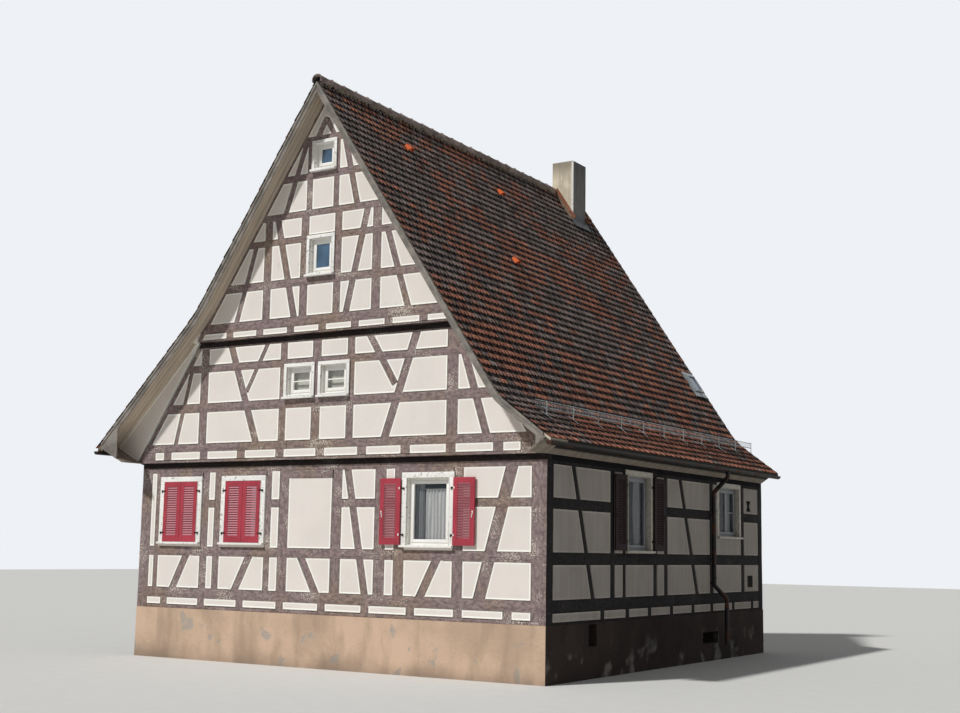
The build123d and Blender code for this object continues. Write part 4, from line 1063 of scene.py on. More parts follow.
class Slope:
    """One side of the roof: a steep plane, a bend and a flatter plane over the eaves."""

    def __init__(self, side, bend_out, flare_pitch, eaves_out, radius):
        self.side = side
        self.flare = math.radians(flare_pitch)
        turn = MAIN_PITCH - self.flare
        self.radius = radius
        self.straight = bend_out / math.cos(MAIN_PITCH) - radius * math.tan(turn / 2)
        self.arc = radius * turn
        flat = (eaves_out - bend_out) / math.cos(self.flare) - radius * math.tan(turn / 2)
        self.length = self.straight + self.arc + flat

    def spot(self, run):
        """Distance out and height of the tiles' surface, a run down from the ridge."""
        steep = min(run, self.straight)
        out, height = steep * math.cos(MAIN_PITCH), RIDGE_HEIGHT - steep * math.sin(MAIN_PITCH)
        pitch = MAIN_PITCH - min(max(run - self.straight, 0.0), self.arc) / self.radius
        out += self.radius * (math.sin(MAIN_PITCH) - math.sin(pitch))
        height -= self.radius * (math.cos(pitch) - math.cos(MAIN_PITCH))
        flat = max(run - self.straight - self.arc, 0.0)
        return Vector((out + flat * math.cos(self.flare), height - flat * math.sin(self.flare)))

    def frame(self, upper, lower, back):
        """Frame at the upper of two runs: X down the slope to the lower one, Z out of the roof."""
        first, second = self.spot(upper), self.spot(lower)
        along = (second - first).normalized()
        down = Vector((self.side * along.x, 0, along.y))
        out = Vector((-self.side * along.y, 0, along.x))
        turn = Matrix((down, out.cross(down), out)).transposed()
        place = (MIDDLE + self.side * first.x, GABLE + back, GROUND + first.y)
        return Matrix.Translation(place) @ turn.to_4x4()


STREET_SLOPE = Slope(1, HALF_WIDTH - 0.595, 36.8, HALF_WIDTH + 0.435, 0.9)
COURT_SLOPE = Slope(-1, HALF_WIDTH - 1.905, 45.2, HALF_WIDTH + 0.74, 3.0)


class HOUSE_OT_tiles(bpy.types.Operator):
    """Lay the roof tiles course by course on both slopes"""

    bl_idname = "house.tiles"
    bl_label = "Roof tiles"

    def execute(self, context):
        blank = self.tile()
        self.slope(blank, STREET_SLOPE, "tiles_street", "roof_tiles_street", 21)
        self.slope(blank, COURT_SLOPE, "tiles_court", "roof_tiles_court", 22)
        bpy.data.objects.remove(blank)
        return {"FINISHED"}

    def tile(self):
        """One tile, X down the slope, its raised edge at its left and its top surface at its highest at 0."""
        own = sizes()
        length = own.tile_exposure + own.tile_lap
        tile = primitive(bpy.ops.mesh.primitive_grid_add, x_subdivisions=1, y_subdivisions=4, size=1.0)
        size = Matrix.Diagonal((length, own.tile_width, 1, 1))
        tile.data.transform(Matrix.Translation((length / 2, 0, -own.tile_rib)) @ size)
        half, rib = own.tile_width / 2, own.tile_rib
        for column, shift, lift in (
            (-half, 0.0, rib), (-half / 2, -0.03, rib), (0.0, -0.05, 0.003), (half, 0.016, -0.002)
        ):
            move_part(tile, lambda vertex: abs(vertex.co.y - column) < 0.001, (0, shift, lift))
        move_part(tile, lambda vertex: vertex.co.x < 0.01, (0, 0, -own.tile_thickness))
        thicken(tile, own.tile_thickness)
        marks = tile.data.attributes
        for name in ("tone", "rust", "reach", "edge"):
            marks.new(name, "FLOAT", "POINT")
        spots = [vertex.co for vertex in tile.data.vertices]
        marks["reach"].data.foreach_set("value", [spot.x / length for spot in spots])
        marks["edge"].data.foreach_set("value", [abs(spot.y) / half for spot in spots])
        return tile

    def slope(self, blank, slope, name, node, seed):
        own = sizes()
        dice = random.Random(seed)
        low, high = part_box(node)
        verge = 0.022
        span = high.y - low.y - 2 * verge
        across = round(span / own.tile_width)
        width = span / across
        courses = round(slope.length / own.tile_exposure)
        exposure = slope.length / courses
        length = own.tile_exposure + own.tile_lap
        holes = [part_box("chimney")]
        if slope.side > 0:
            holes.append(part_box("skylight_frame"))
        tiles = []
        for course in range(courses):
            lower = (course + 1) * exposure
            upper = max(lower - length, 0.01)
            shifted = course % 2
            for step in range(across + shifted):
                share = 0.5 if shifted and step in (0, across) else 1.0
                start = max(0.0, (step - 0.5 * shifted) * width)
                back = low.y + verge - GABLE + start + share * width / 2
                place = slope.frame(upper, lower, back)
                if self.covered(place @ Vector((length / 2, 0, 0)), holes):
                    continue
                spin = Matrix.Rotation(dice.gauss(0, 0.006), 4, "Z")
                spin = spin @ Matrix.Rotation(dice.gauss(0, 0.005), 4, "Y")
                size = Matrix.Diagonal(((lower - upper) / length, share * width / own.tile_width, 1, 1))
                lift = Matrix.Translation((dice.gauss(0, 0.002), 0, dice.uniform(-0.002, 0.001)))
                tile = copy_of(blank, place @ lift @ spin @ size)
                self.weather(tile.data, slope, back, lower, dice)
                tiles.append(tile)
        roof = joined_rows(name, tiles)
        surface(roof, "tiles")
        settle(roof, "clay_tile", node)

    def covered(self, spot, holes):
        """Whether a spot lies inside one of the boxes."""
        return any(low.x < spot.x < high.x and low.y < spot.y < high.y for low, high in holes)

    def weather(self, mesh, slope, back, run, dice):
        """How red and how pale a tile is, in patches that lean across the roof."""
        lean = Vector((back * 0.5 - run * 0.42, run * 0.55 + back * 0.1, 3.0 * slope.side))
        patch = noise.noise(lean) + 0.6 * noise.noise(lean * 2.7)
        eaves = max(0.0, run / slope.length - 0.8) * 1.6
        rust = min(1.0, max(0.0, 0.3 + 0.8 * patch + 0.25 * run / slope.length + eaves + dice.gauss(0, 0.22)))
        tone = dice.random()
        for name, value in (("rust", rust), ("tone", tone)):
            mesh.attributes[name].data.foreach_set("value", [value] * len(mesh.vertices))


class HOUSE_OT_ridge(bpy.types.Operator):
    """Set the ridge tiles in their mortar"""

    bl_idname = "house.ridge"
    bl_label = "Ridge tiles"

    def execute(self, context):
        own = sizes()
        low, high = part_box("ridge_tiles")
        radius, sink, wall = 0.12, 0.06, 0.018
        near, far = low.y + 0.03, high.y - 0.03
        count = round((far - near) / own.ridge_tile_length)
        pitch = (far - near) / count
        centre = GROUND + RIDGE_HEIGHT - sink
        cap = primitive(
            bpy.ops.mesh.primitive_cylinder_add, vertices=20, radius=radius - wall * 0.3, depth=pitch + 0.04,
            end_fill_type="NOTHING", rotation=(math.pi / 2, 0, 0)
        )
        cut(cap, (0, 0, -0.055), (0, 0, 1), clear_inner=True)
        scale_part(cap, lambda vertex: vertex.co.y > 0, (0.9, 1.0, 0.9), (0, 0, 0))
        thicken(cap, wall)
        finish_edges(cap, 0.004, 1)
        lump = primitive(bpy.ops.mesh.primitive_ico_sphere_add, subdivisions=2, radius=0.05)
        dice = random.Random(31)
        caps, lumps = [], []
        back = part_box("chimney")[0].y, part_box("chimney")[1].y
        for step in range(count):
            middle = near + (step + 0.5) * pitch
            spin = Matrix.Rotation(dice.gauss(0, 0.012), 4, "Z")
            spin = spin @ Matrix.Rotation(dice.gauss(0, 0.01), 4, "X")
            lift = dice.uniform(-0.004, 0.004)
            if back[0] - 0.1 < middle < back[1] + 0.1:
                continue
            caps.append(copy_of(cap, Matrix.Translation((MIDDLE, middle, centre + lift)) @ spin))
            for side in (-1, 1):
                for nudge in (-0.32, 0.0, 0.27):
                    size = dice.uniform(0.35, 0.6), dice.uniform(0.8, 2.0), dice.uniform(0.5, 0.9), 1
                    spot = (MIDDLE + side * dice.uniform(0.085, 0.1), middle + nudge * pitch, centre - 0.06)
                    lumps.append(copy_of(lump, Matrix.Translation(spot) @ Matrix.Diagonal(size)))
            size = Matrix.Diagonal((1.5, dice.uniform(0.5, 0.9), 0.8, 1))
            joint = Matrix.Translation((MIDDLE, middle - pitch / 2 + 0.02, centre + radius * 0.72))
            lumps.append(copy_of(lump, joint @ size))
        for spare in (cap, lump):
            bpy.data.objects.remove(spare)
        ridge = joined_rows("ridge_caps", caps)
        surface(ridge, "ridge")
        settle(ridge, "clay_tile", "ridge_tiles")
        mortar = joined_rows("ridge_mortar", lumps)
        edit_whole(mortar)
        bpy.ops.transform.vertex_random(offset=0.008, seed=4)
        close()
        choose(mortar)
        bpy.ops.object.shade_smooth()
        surface(mortar, "mortar")
        settle(mortar, "masonry")
        return {"FINISHED"}


def ring(outer, inner, back, front):
    """Four boards round an opening, on a wall's face; each rectangle is left, bottom, right, top."""
    left, bottom, right, top = outer
    near, foot, far, head = inner
    sides = [((left, bottom, back), (near, top, front)), ((far, bottom, back), (right, top, front))]
    return sides + [((near, bottom, back), (far, foot, front)), ((near, head, back), (far, top, front))]


class HOUSE_OT_windows(bpy.types.Operator):
    """Build the window boards, sills, linings, frames and casements, board by board"""

    bl_idname = "house.windows"
    bl_label = "Windows"

    def execute(self, context):
        attic, lower = (0.07, 0.07, 0.07), (0.112, 0.1, 0.04)
        gable = [(GROUND_WALL, window, lower, ()) for window in GROUND_WINDOWS]
        gable += [(LOWER_WALL, window, attic, (0.5,)) for window in LOWER_WINDOWS]
        gable += [(UPPER_WALL, window, attic, ()) for window in UPPER_WINDOWS]
        street = [(STREET_WALL, STREET_WINDOWS[0], lower, ())]
        street.append((STREET_WALL, STREET_WINDOWS[1], lower, (0.5,)))
        for place, finish, windows in (("gable", "trim", gable), ("sides", "street_trim", street)):
            boards, casements = [], []
            for wall, window, margins, bars in windows:
                boards += self.boards(wall, window, *margins)
                casements += self.casements(wall, window, bars)
            if place == "sides":
                boards += [copy_of(each, MIRROR) for each in boards]
                casements += [copy_of(each, MIRROR) for each in casements]
            arris = sizes().board_arris
            casement = "casement" if place == "gable" else "street_casement"
            for name, parts, look, slot, node in (
                ("window_boards_", boards, finish, "white_trim", "surrounds_"),
                ("casements_", casements, casement, "white_plastic", "sashes_"),
            ):
                fitting(name + place, parts, arris, look, slot, node + place, segments=2)
        return {"FINISHED"}

    def boards(self, wall, window, side, head, sill):
        """Boards on the wall's face, the sill and the opening's lining."""
        centre, width, bottom, top = window
        left, right, foot = centre - width / 2, centre + width / 2, bottom - sill
        sill_top, proud, lining, gap = foot + 0.04, 0.02, 0.012, 0.0003
        parts = [
            ((left - side, sill_top, 0.0), (left, top, proud)),
            ((right, sill_top, 0.0), (right + side, top, proud)),
            ((left - side, top, 0.0), (right + side, top + head, proud)),
            ((left - side, foot, 0.0), (right + side, sill_top, 0.08)),
        ]
        if bottom > sill_top:
            parts.append(((left, sill_top, 0.0), (right, bottom, proud - 0.002)))
        inner = (left + lining, bottom + lining, right - lining, top - lining)
        parts += ring((left + gap, bottom + gap, right - gap, top - gap), inner, -0.0815, -0.002)
        step = 0.014
        trim = (left - step, bottom - step if bottom > sill_top + step else bottom, right + step, top + step)
        parts += ring(trim, (left, bottom, right, top), proud - 0.001, proud + 0.007)
        return [block(low, high, wall) for low, high in parts]

    def casements(self, wall, window, bars):
        """Fixed frame, the casement in it, its mullion where it has two lights, and level bars."""
        centre, width, bottom, top = window
        left, right = centre - width / 2, centre + width / 2
        rim, stile, mullion, bar = 0.05, 0.062, 0.09, 0.024
        gap = 0.0003

        def inset(size):
            return left + size, bottom + size, right - size, top - size

        parts = ring(inset(gap), inset(rim), -0.152, -0.082)
        parts += ring(inset(rim + 0.001), inset(rim + stile), -0.12, -0.07)
        light_left, light_bottom, light_right, light_top = inset(rim + stile)
        if width > 1.1:
            light_left = centre + mullion / 2
            parts.append(((centre - mullion / 2, bottom + rim, -0.12), (light_left, top - rim, -0.068)))
        for share in bars:
            level = light_bottom + share * (light_top - light_bottom)
            parts.append(((light_left, level - bar / 2, -0.108), (light_right, level + bar / 2, -0.078)))
        return [block(low, high, wall) for low, high in parts]


class HOUSE_OT_curtains(bpy.types.Operator):
    """Hang the net curtains and the attic's blinds behind the glass"""

    bl_idname = "house.curtains"
    bl_label = "Curtains"

    def execute(self, context):
        rim, rod_drop = 0.07, 0.08
        centre, width, bottom, top = GROUND_WINDOWS[2]
        left, right = centre - width / 2 + rim, centre + width / 2 - rim
        self.curtain("curtain_gable", GROUND_WALL, (centre - 0.16, right), (bottom + rim, top - 0.2))
        levels = (bottom + rim, top - rod_drop)
        self.curtain("curtain_gable_shaded", GROUND_WALL, (left, centre - 0.2), levels)
        centre, width, bottom, top = STREET_WINDOWS[0]
        left, right = centre - width / 2 + rim, centre + width / 2 - rim
        levels = (bottom + rim, top - rod_drop)
        self.curtain("curtain_street_near", STREET_WALL, (left, centre - 0.06), levels)
        self.curtain("curtain_street_far", STREET_WALL, (centre + 0.13, right), levels)
        centre, width, bottom, top = STREET_WINDOWS[1]
        right, levels = centre + width / 2 - rim, (bottom + rim, top - rod_drop)
        self.curtain("curtain_street_last", STREET_WALL, (centre + 0.02, right), levels)
        rim = 0.06
        for number, (centre, width, bottom, top) in enumerate(LOWER_WINDOWS, start=1):
            ends, levels = (centre - width / 2 + rim, centre + width / 2 - rim), (bottom + rim, top - rim)
            self.blind(f"blind_attic_{number}", LOWER_WALL, ends, levels)
        return {"FINISHED"}

    def rod(self, name, wall, ends, level):
        """Slim rod that a cloth hangs from."""
        rod = primitive(
            bpy.ops.mesh.primitive_cylinder_add, vertices=12, radius=0.006, depth=ends[1] - ends[0],
            rotation=(0, math.pi / 2, 0)
        )
        place = wall @ Matrix.Translation(((ends[0] + ends[1]) / 2, level, -0.17))
        return fitting(name, [rod], 0.001, "casement", "white_plastic", place=place)

    def cloth(self, name, wall, ends, levels, cuts, depth, look):
        """Sheet whose depth behind the glass depends on how far along and how far down a spot lies."""
        width, height = ends[1] - ends[0], levels[1] - levels[0]
        add = bpy.ops.mesh.primitive_grid_add
        cloth = primitive(add, x_subdivisions=cuts[0], y_subdivisions=cuts[1], size=1.0)
        cloth.name = cloth.data.name = name
        for vertex in cloth.data.vertices:
            share, fall = vertex.co.x + 0.5, 0.5 - vertex.co.y
            vertex.co = (ends[0] + share * width, levels[1] - fall * height, depth(share, fall))
        cloth.data.transform(wall)
        choose(cloth)
        bpy.ops.object.shade_smooth()
        return surface(cloth, look)

    def curtain(self, name, wall, ends, levels):
        """Gathered cloth: a sheet in upright folds that open a little towards its hem."""
        own = sizes()
        rod = self.rod(name + "_rod", wall, (ends[0] - 0.02, ends[1] + 0.02), levels[1])
        width, height = ends[1] - ends[0], levels[1] - levels[0]

        def depth(share, fall):
            sway = noise.noise(Vector((share * 4, fall * 1.3, width * 7)))
            wave = math.sin(math.tau * (share * width / own.fold_width + sway * 0.35))
            return -0.187 + own.fold_depth * (0.75 + 0.35 * fall + 0.4 * sway) * wave

        # Painted shade: every curtain but the gable's lit one takes the darker copy of the net.
        look = "net" if name == "curtain_gable" else "street_net"
        cloth = self.cloth(name, wall, ends, levels, (max(12, round(width / 0.008)), 12), depth, look)
        area = sum(polygon.area for polygon in cloth.data.polygons)
        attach(cloth, HOUSE)
        area / height

    def blind(self, name, wall, ends, levels):
        """Flat cloth with a slight belly."""
        rod = self.rod(name + "_rod", wall, (ends[0] - 0.01, ends[1] + 0.01), levels[1])
        width, height = ends[1] - ends[0], levels[1] - levels[0]

        def depth(share, fall):
            belly = 0.004 * math.sin(share * 9) * fall + 0.006 * math.sin(math.pi * fall)
            return -0.172 + belly

        cloth = self.cloth(name, wall, ends, levels, (16, 12), depth, "blind")
        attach(cloth, HOUSE)


class HOUSE_OT_shutters(bpy.types.Operator):
    """Build the louvred shutters, each on its own hinge"""

    bl_idname = "house.shutters"
    bl_label = "Shutters"

    def execute(self, context):
        for number, window in enumerate(GROUND_WINDOWS, start=1):
            turned = number == 3
            self.leaf(f"shutter_gable_{number}_left", GROUND_WALL, window, 1, turned)
            self.leaf(f"shutter_gable_{number}_right", GROUND_WALL, window, -1, turned)
        self.leaf("shutter_street_near", STREET_WALL, STREET_WINDOWS[0], 1, True)
        self.leaf("shutter_street_far", STREET_WALL, STREET_WINDOWS[0], -1, True)
        return {"FINISHED"}

    def leaf(self, node, wall, window, side, turned):
        """Leaf with its X axis from the hinge line along it, and its outer face at 0."""
        own = sizes()
        centre, opening, bottom, top = window
        board, gap, reach, proud, thickness = 0.112, 0.005, 0.061, 0.032, 0.03
        stile, head_rail, foot_rail = 0.095, 0.1, 0.13
        width = (opening + board - gap) / 2 - reach
        height = top - bottom - 2 * gap
        line = centre - side * (opening + board) / 2
        along = side * (-1 if turned else 1)
        turn = Matrix(((along, 0, 0), (0, 0, -along), (0, 1, 0))).transposed()
        place = wall @ Matrix.Translation((line, bottom, proud)) @ turn.to_4x4()
        inner = side * thickness
        near, far = min(0.0, inner), max(0.0, inner)

        def bar(left, right, low, high, front=near, back=far):
            return block((left, front, low), (right, back, high))

        edge = reach + width
        wood = [bar(reach, reach + stile, gap, gap + height), bar(edge - stile, edge, gap, gap + height)]
        left, right = reach + stile, edge - stile
        wood.append(bar(left, right, gap, gap + foot_rail))
        wood.append(bar(left, right, gap + height - head_rail, gap + height))
        low, high = gap + foot_rail, gap + height - head_rail
        count = round((high - low) / own.slat_spacing)
        spacing = (high - low) / count
        slat = block((left - 0.01, -0.024, -0.005), (right + 0.01, 0.024, 0.005))
        tilt = Matrix.Rotation(side * math.radians(56), 4, "X")
        for step in range(count):
            middle = low + (step + 0.5) * spacing
            wood.append(copy_of(slat, Matrix.Translation((0, inner / 2, middle)) @ tilt))
        bpy.data.objects.remove(slat)
        name, street = node.removeprefix("shutter_"), "street" in node
        look = "street_shutter" if street else "shutter"
        fitting("leaf_" + name, wood, 0.0025, look, "shutter_paint", node, body=node, place=place)
        levels = (0.19, top - bottom - 0.19)
        irons = [part for level in levels for part in self.hinge(level, side, reach)]
        if turned:
            irons += self.stay(reach, side, gap)
        fitting("irons_" + name, irons, 0.0015, "iron", "hinge_iron", body=node, place=place)
        if turned:
            front = inner + side * 0.001
            pins = [part for level in levels for part in self.pin(reach + 0.02, level, front, side)]
            pins += self.catch(edge - 0.045, (top - bottom) * 0.46, front, side)
            look = "street_shutter" if street else "casement"
            fitting("catches_" + name, pins, 0.0015, look, "white_trim", body=node, place=place)

    def hinge(self, level, side, reach):
        """Short strap from the eye to the leaf, and the eye itself."""
        thick, half = 0.006, 0.013
        faces = sorted((0.0, -side * thick))
        strap = block((0.004, faces[0], level - half), (reach + 0.035, faces[1], level + half))
        add = bpy.ops.mesh.primitive_cylinder_add
        return strap, primitive(add, vertices=16, radius=0.009, depth=2 * half, location=(0, 0, level))

    def stay(self, reach, side, foot):
        """Dark stay under the foot of an open leaf, at its hinge end."""
        faces = sorted((side * 0.002, side * 0.022))
        return [block((reach + 0.01, faces[0], foot - 0.004), (reach + 0.1, faces[1], foot + 0.012))]

    def pin(self, middle, level, front, side):
        """Pale pin head on an open leaf's stile."""
        faces = sorted((front - side * 0.002, front + side * 0.006))
        return [block((middle - 0.012, faces[0], level - 0.02), (middle + 0.012, faces[1], level + 0.02))]

    def catch(self, middle, level, front, side):
        """Pale S-shaped catch: two upright ends and a slanting middle."""
        faces = sorted((front - side * 0.002, front + side * 0.007))
        upper = block((middle - 0.006, faces[0], level + 0.02), (middle + 0.018, faces[1], level + 0.06))
        lower = block((middle - 0.018, faces[0], level - 0.06), (middle - 0.002, faces[1], level - 0.015))
        bar = block((-0.008, faces[0], -0.035), (0.008, faces[1], 0.035))
        bar.data.transform(Matrix.Translation((middle, 0, level)) @ Matrix.Rotation(0.35, 4, "Y"))
        return [upper, lower, bar]


class HOUSE_OT_vents(bpy.types.Operator):
    """Fill the side walls' vents with painted shade and bar the plinth's openings"""

    bl_idname = "house.vents"
    bl_label = "Vents"

    def execute(self, context):
        stones, irons, shade_fills = [], [], []
        upper, lower = WALL_VENTS
        for middle, width, bottom, top in (upper, lower):
            low = (middle - width / 2 - 0.004, bottom - 0.004, -0.05)
            stones.append(block(low, (middle + width / 2 + 0.004, top + 0.004, -0.003), STREET_WALL))
        shade_fills.append(self.waisted(upper, 0.135, 0.004))
        middle, width, bottom, top = lower
        low, high = (middle - 0.15, bottom + 0.004), (middle + 0.15, top - 0.004)
        # Painted shade: a near-black block behind the lower vent's grille.
        shade_fills.append(block((*low, -0.03), (*high, -0.001), STREET_WALL))
        inner = (low[0] + 0.016, low[1] + 0.016, high[0] - 0.016, high[1] - 0.016)
        irons += [block(first, last, STREET_WALL) for first, last in ring((*low, *high), inner, -0.01, 0.004)]
        irons += self.bars(low[0], high[0], low[1], high[1], 4, 0.0)
        for name, parts, arris, look, slot in (
            ("vent_stones", stones, 0.003, "street_plaster", "plaster"),
            ("vent_hollows", shade_fills, 0.001, "void", "hinge_iron"),
            ("vent_bars", irons, 0.0015, "iron", "hinge_iron"),
        ):
            piece = fitting(name, parts, arris, look, slot)
            settle(copy_of(piece, MIRROR, name + "_court"), slot)
        for name, ((middle, width, bottom, top), count) in PLINTH_OPENINGS.items():
            bars = self.bars(middle - width / 2, middle + width / 2, bottom, top, count, -0.07)
            fitting(name, bars, 0.002, "iron", "hinge_iron")
        return {"FINISHED"}

    def waisted(self, vent, half, inset):
        """Painted shade: a near-black block in the vent's hollow, narrowing at half its height."""
        middle, _, bottom, top = vent
        hollow = block((-half, bottom + inset, -0.02), (half, top - inset, -0.001))
        level = (bottom + top) / 2
        cut(hollow, (0, level, 0), (0, 1, 0))
        scale_part(hollow, lambda vertex: abs(vertex.co.y - level) < 0.001, (0.45, 1, 1), (0, level, 0))
        hollow.data.transform(STREET_WALL @ Matrix.Translation((middle, 0, 0)))
        return hollow

    def bars(self, left, right, bottom, top, count, out):
        """Row of upright bars across an opening."""
        spacing = (right - left) / (count + 1)
        places = [left + spacing * (step + 1) for step in range(count)]
        rows = [((place - 0.006, bottom, out - 0.012), (place + 0.006, top, out)) for place in places]
        return [block(low, high, STREET_WALL) for low, high in rows]


class HOUSE_OT_roof_fittings(bpy.types.Operator):
    """Add the flashings, vent tiles, snow guard's wires, gutter ends and pipe collars"""

    bl_idname = "house.roof_fittings"
    bl_label = "Roof fittings"

    def execute(self, context):
        self.chimney_foot()
        self.roof_window()
        self.vent_tiles()
        self.snow_guard()
        self.water_goods()
        verge = node_copy("barge_boards", "verge_boards")
        fitting("verge_boards", [verge], 0.005, "barge", "barge_boards", "barge_boards", segments=2)
        return {"FINISHED"}

    def chimney_foot(self):
        """Strips up both faces of the chimney, a lead apron below it and a pale strip on its arris, a painted
        highlight.
        """
        low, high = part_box("chimney")
        reach = high.x - MIDDLE
        length = reach / math.cos(MAIN_PITCH)
        near, far = low.y - GABLE, high.y - GABLE
        strips, fillets = [], []
        for back, out in ((near, -1), (far, 1)):
            place = STREET_SLOPE.frame(0.03, length, back)
            faces = sorted((0.004 * -out, 0.014 * out))
            strips.append(block((0.0, faces[0], -0.03), (length - 0.03, faces[1], 0.115), place))
            faces = sorted((0.0, 0.05 * out))
            fillets.append(block((0.0, faces[0], -0.01), (length, faces[1], 0.03), place))
        fitting("chimney_strips", strips, 0.003, "copper", "zinc")
        fitting("chimney_fillets", fillets, 0.008, "mortar", "masonry", segments=2)
        place = STREET_SLOPE.frame(length, length + 0.24, 0.0)
        apron = [block((0.0, near - 0.06, 0.0), (0.24, far + 0.06, 0.024), place)]
        foot = GROUND + STREET_SLOPE.spot(length).y
        lap = (high.x - 0.003, low.y - 0.012, foot - 0.02), (high.x + 0.012, high.y + 0.012, foot + 0.14)
        apron.append(block(*lap))
        fitting("chimney_apron", apron, 0.004, "lead", "zinc")
        # Painted highlight: a white strip along the chimney's near arris.
        near_foot = high.x - 0.04, low.y - 0.007, foot + 0.1
        far_head = high.x + 0.007, low.y + 0.03, high.z - 0.01
        arris = block(near_foot, far_head)
        fitting("chimney_arris", [arris], 0.003, "trim", "render")

    def roof_window(self):
        """Flashing that laps the tiles round the roof window."""
        low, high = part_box("skylight_frame")
        out = HALF_WIDTH - 1.505
        run = out / math.cos(MAIN_PITCH)
        place = STREET_SLOPE.frame(run, run + 0.1, (low.y + high.y) / 2 - GABLE)
        half_length, half_width = 0.25, 0.24
        outer = -half_length - 0.09, -half_width - 0.07, half_length + 0.14, half_width + 0.07
        rows = ring(outer, (-half_length, -half_width, half_length, half_width), -0.005, 0.022)
        for near, far in ((-half_width - 0.014, -half_width), (half_width, half_width + 0.014)):
            rows.append(((-half_length, near, 0.0), (half_length, far, 0.05)))
        parts = [block(first, last, place) for first, last in rows]
        fitting("roof_window_flashing", parts, 0.004, "dull_zinc", "zinc")

    def vent_tiles(self):
        """Small clay hoods: half tubes that taper up the slope."""
        hood = primitive(
            bpy.ops.mesh.primitive_cylinder_add, vertices=20, radius=0.085, depth=0.16,
            end_fill_type="NOTHING", rotation=(0, math.pi / 2, 0)
        )
        cut(hood, (0, 0, -0.02), (0, 0, 1), clear_inner=True)
        scale_part(hood, lambda vertex: vertex.co.x < 0, (1, 0.85, 0.5), (0, 0, -0.02))
        thicken(hood, 0.012)
        finish_edges(hood, 0.003, 1)
        hoods = []
        for out, back in VENT_TILES:
            run = out / math.cos(MAIN_PITCH)
            place = STREET_SLOPE.frame(run, run + 0.1, back) @ Matrix.Translation((0, 0, 0.02))
            hoods.append(copy_of(hood, place))
        bpy.data.objects.remove(hood)
        settle(surface(joined("vent_tiles", hoods), "vent_tile"), "clay_tile")

    def snow_guard(self):
        """Fine wires between the guard's rails, a little out of true."""
        low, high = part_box("snow_guard")
        dice = random.Random(41)
        out, foot = MIDDLE + HALF_WIDTH - 0.165, high.z - 0.25
        spacing, half = 0.06, 0.0025
        wire = block((-half, -half, 0.0), (half, half, 0.135))
        wires = []
        for step in range(int((high.y - low.y) / spacing)):
            spot = low.y + 0.03 + step * spacing
            lean = Matrix.Rotation(dice.gauss(0, 0.05), 4, "X")
            wires.append(copy_of(wire, Matrix.Translation((out, spot, foot + 0.108)) @ lean))
        bpy.data.objects.remove(wire)
        settle(surface(joined_rows("snow_guard_wires", wires), "dull_zinc"), "zinc")

    def water_goods(self):
        """Lids on the gutters' ends and collars on the downpipes."""
        low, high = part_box("gutters")
        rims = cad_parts["gutters"].data.vertices
        add = bpy.ops.mesh.primitive_cylinder_add
        lid = primitive(add, vertices=24, radius=GUTTER_RADIUS, depth=0.006, rotation=(math.pi / 2, 0, 0))
        cut(lid, (0, 0, 0), (0, 0, 1), clear_outer=True, use_fill=True)
        collar = primitive(add, vertices=24, radius=0.052, depth=0.036)
        lids, collars = [], []
        for edge, side in ((high.x, 1), (low.x, -1)):
            top = max(
                vertex.co.z for vertex in rims
                if abs(vertex.co.y - low.y) < 0.001 and (vertex.co.x - MIDDLE) * side > 0
            )
            for back, inner in ((low.y, 0.003), (high.y, -0.003)):
                place = edge - side * GUTTER_RADIUS, back + inner, top
                lids.append(copy_of(lid, Matrix.Translation(place)))
            for level, shift in PIPE_COLLARS:
                out = MIDDLE + side * (HALF_WIDTH + 0.08 + shift)
                place = out, GABLE + DEPTH - 3.17, GROUND + level
                collars.append(copy_of(collar, Matrix.Translation(place)))
        for spare in (lid, collar):
            bpy.data.objects.remove(spare)
        settle(surface(joined("gutter_lids", lids), "metal"), "gutter_metal")
        fitting("pipe_collars", collars, 0.005, "metal", "gutter_metal", segments=2)


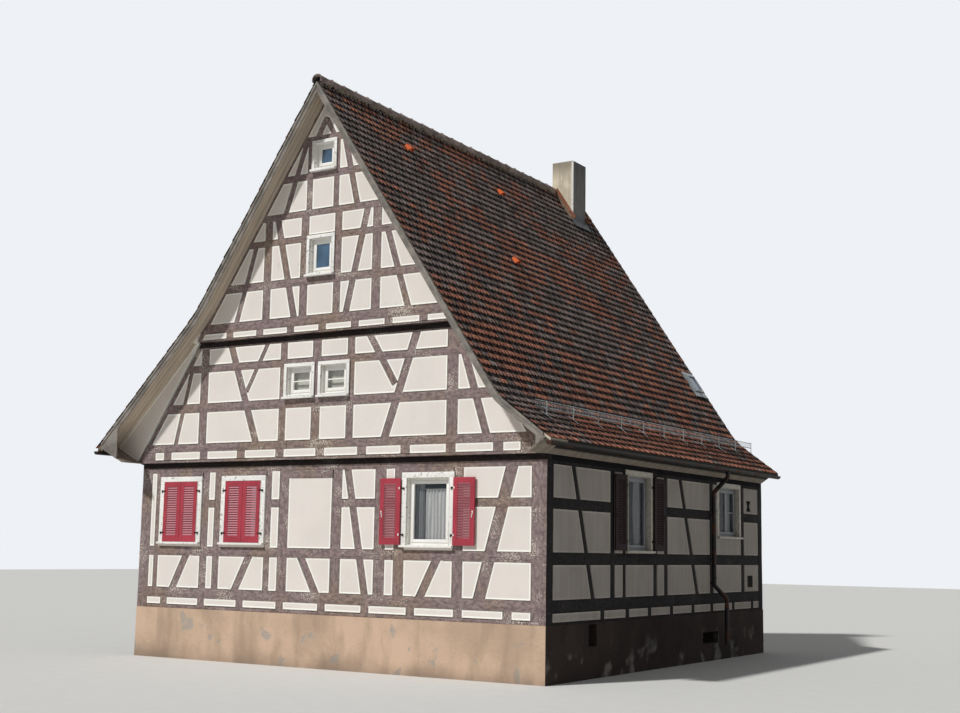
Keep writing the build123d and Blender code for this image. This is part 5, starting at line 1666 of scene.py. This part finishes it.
class HOUSE_OT_stage(bpy.types.Operator):
    """Set the floor, the light and the camera"""

    bl_idname = "house.stage"
    bl_label = "Stage"

    def execute(self, context):
        bpy.ops.object.select_all(action="DESELECT")
        bpy.ops.mesh.primitive_plane_add(size=160.0, location=(MIDDLE, 0.0, 0.0))
        floor = context.active_object
        floor.name = "stage_floor"
        floor.data.materials.append(plain_finish("stage_floor", colours().stage, 0.9, contrast=0.02))
        world = bpy.data.worlds.new("studio")
        context.scene.world = world
        world.use_nodes = True
        nodes = world.node_tree.nodes
        links = world.node_tree.links
        back = nodes["Background"]
        back.inputs["Color"].default_value = (*paint("eef1f5"), 1.0)
        path = nodes.new("ShaderNodeLightPath")
        seen = path.outputs["Is Camera Ray"]
        for ray in ("Is Glossy Ray", "Is Transmission Ray"):
            most = nodes.new("ShaderNodeMath")
            most.operation = "MAXIMUM"
            links.new(seen, most.inputs[0])
            links.new(path.outputs[ray], most.inputs[1])
            seen = most.outputs[0]
        strength = nodes.new("ShaderNodeMapRange")
        links.new(seen, strength.inputs["Value"])
        strength.inputs["To Min"].default_value = AMBIENT
        strength.inputs["To Max"].default_value = 1.0
        links.new(strength.outputs[0], back.inputs["Strength"])
        bpy.ops.object.light_add(type="SUN", location=(-12.0, -25.0, 30.0))
        sun = context.active_object
        sun.name = "sun"
        sun.data.energy = SUN_STRENGTH
        sun.data.angle = SUN_SPREAD
        sun.rotation_euler = SUN_FROM.to_track_quat("Z", "Y").to_euler()
        bpy.ops.object.camera_add(location=CAMERA_PLACE)
        camera = context.active_object
        camera.name = "camera"
        camera.data.lens = CAMERA_LENS
        camera.data.sensor_width = 36.0
        camera.data.clip_end = 500.0
        turn = Matrix.Rotation(CAMERA_YAW, 3, "Z") @ Matrix.Rotation(math.pi / 2 + CAMERA_PITCH, 3, "X")
        turn = turn @ Matrix.Rotation(CAMERA_ROLL, 3, "Z")
        camera.rotation_euler = turn.to_euler()
        context.scene.camera = camera
        context.scene.view_settings.view_transform = "Standard"
        return {"FINISHED"}


class HOUSE_PT_panel(bpy.types.Panel):
    """Steps of the house's finish"""

    bl_label = "House"
    bl_idname = "HOUSE_PT_panel"
    bl_space_type = "VIEW_3D"
    bl_region_type = "UI"
    bl_category = "House"

    def draw(self, context):
        for step in STEPS:
            self.layout.operator(step.bl_idname)


STEPS = [
    HOUSE_OT_finishes,
    HOUSE_OT_gable_frame,
    HOUSE_OT_side_frames,
    HOUSE_OT_panels,
    HOUSE_OT_tiles,
    HOUSE_OT_ridge,
    HOUSE_OT_windows,
    HOUSE_OT_curtains,
    HOUSE_OT_shutters,
    HOUSE_OT_vents,
    HOUSE_OT_roof_fittings,
    HOUSE_OT_stage,
]
CLASSES = [HouseSizes, HouseColours, *STEPS, HOUSE_PT_panel]


def register():
    for each in CLASSES:
        bpy.utils.register_class(each)
    bpy.types.Scene.house_sizes = bpy.props.PointerProperty(type=HouseSizes)
    bpy.types.Scene.house_colours = bpy.props.PointerProperty(type=HouseColours)


def unregister():
    del bpy.types.Scene.house_colours
    del bpy.types.Scene.house_sizes
    for each in reversed(CLASSES):
        bpy.utils.unregister_class(each)


def main():
    register()
    for step in STEPS:
        group, name = step.bl_idname.split(".")
        getattr(getattr(bpy.ops, group), name)()


if __name__ == "__main__":
    main()
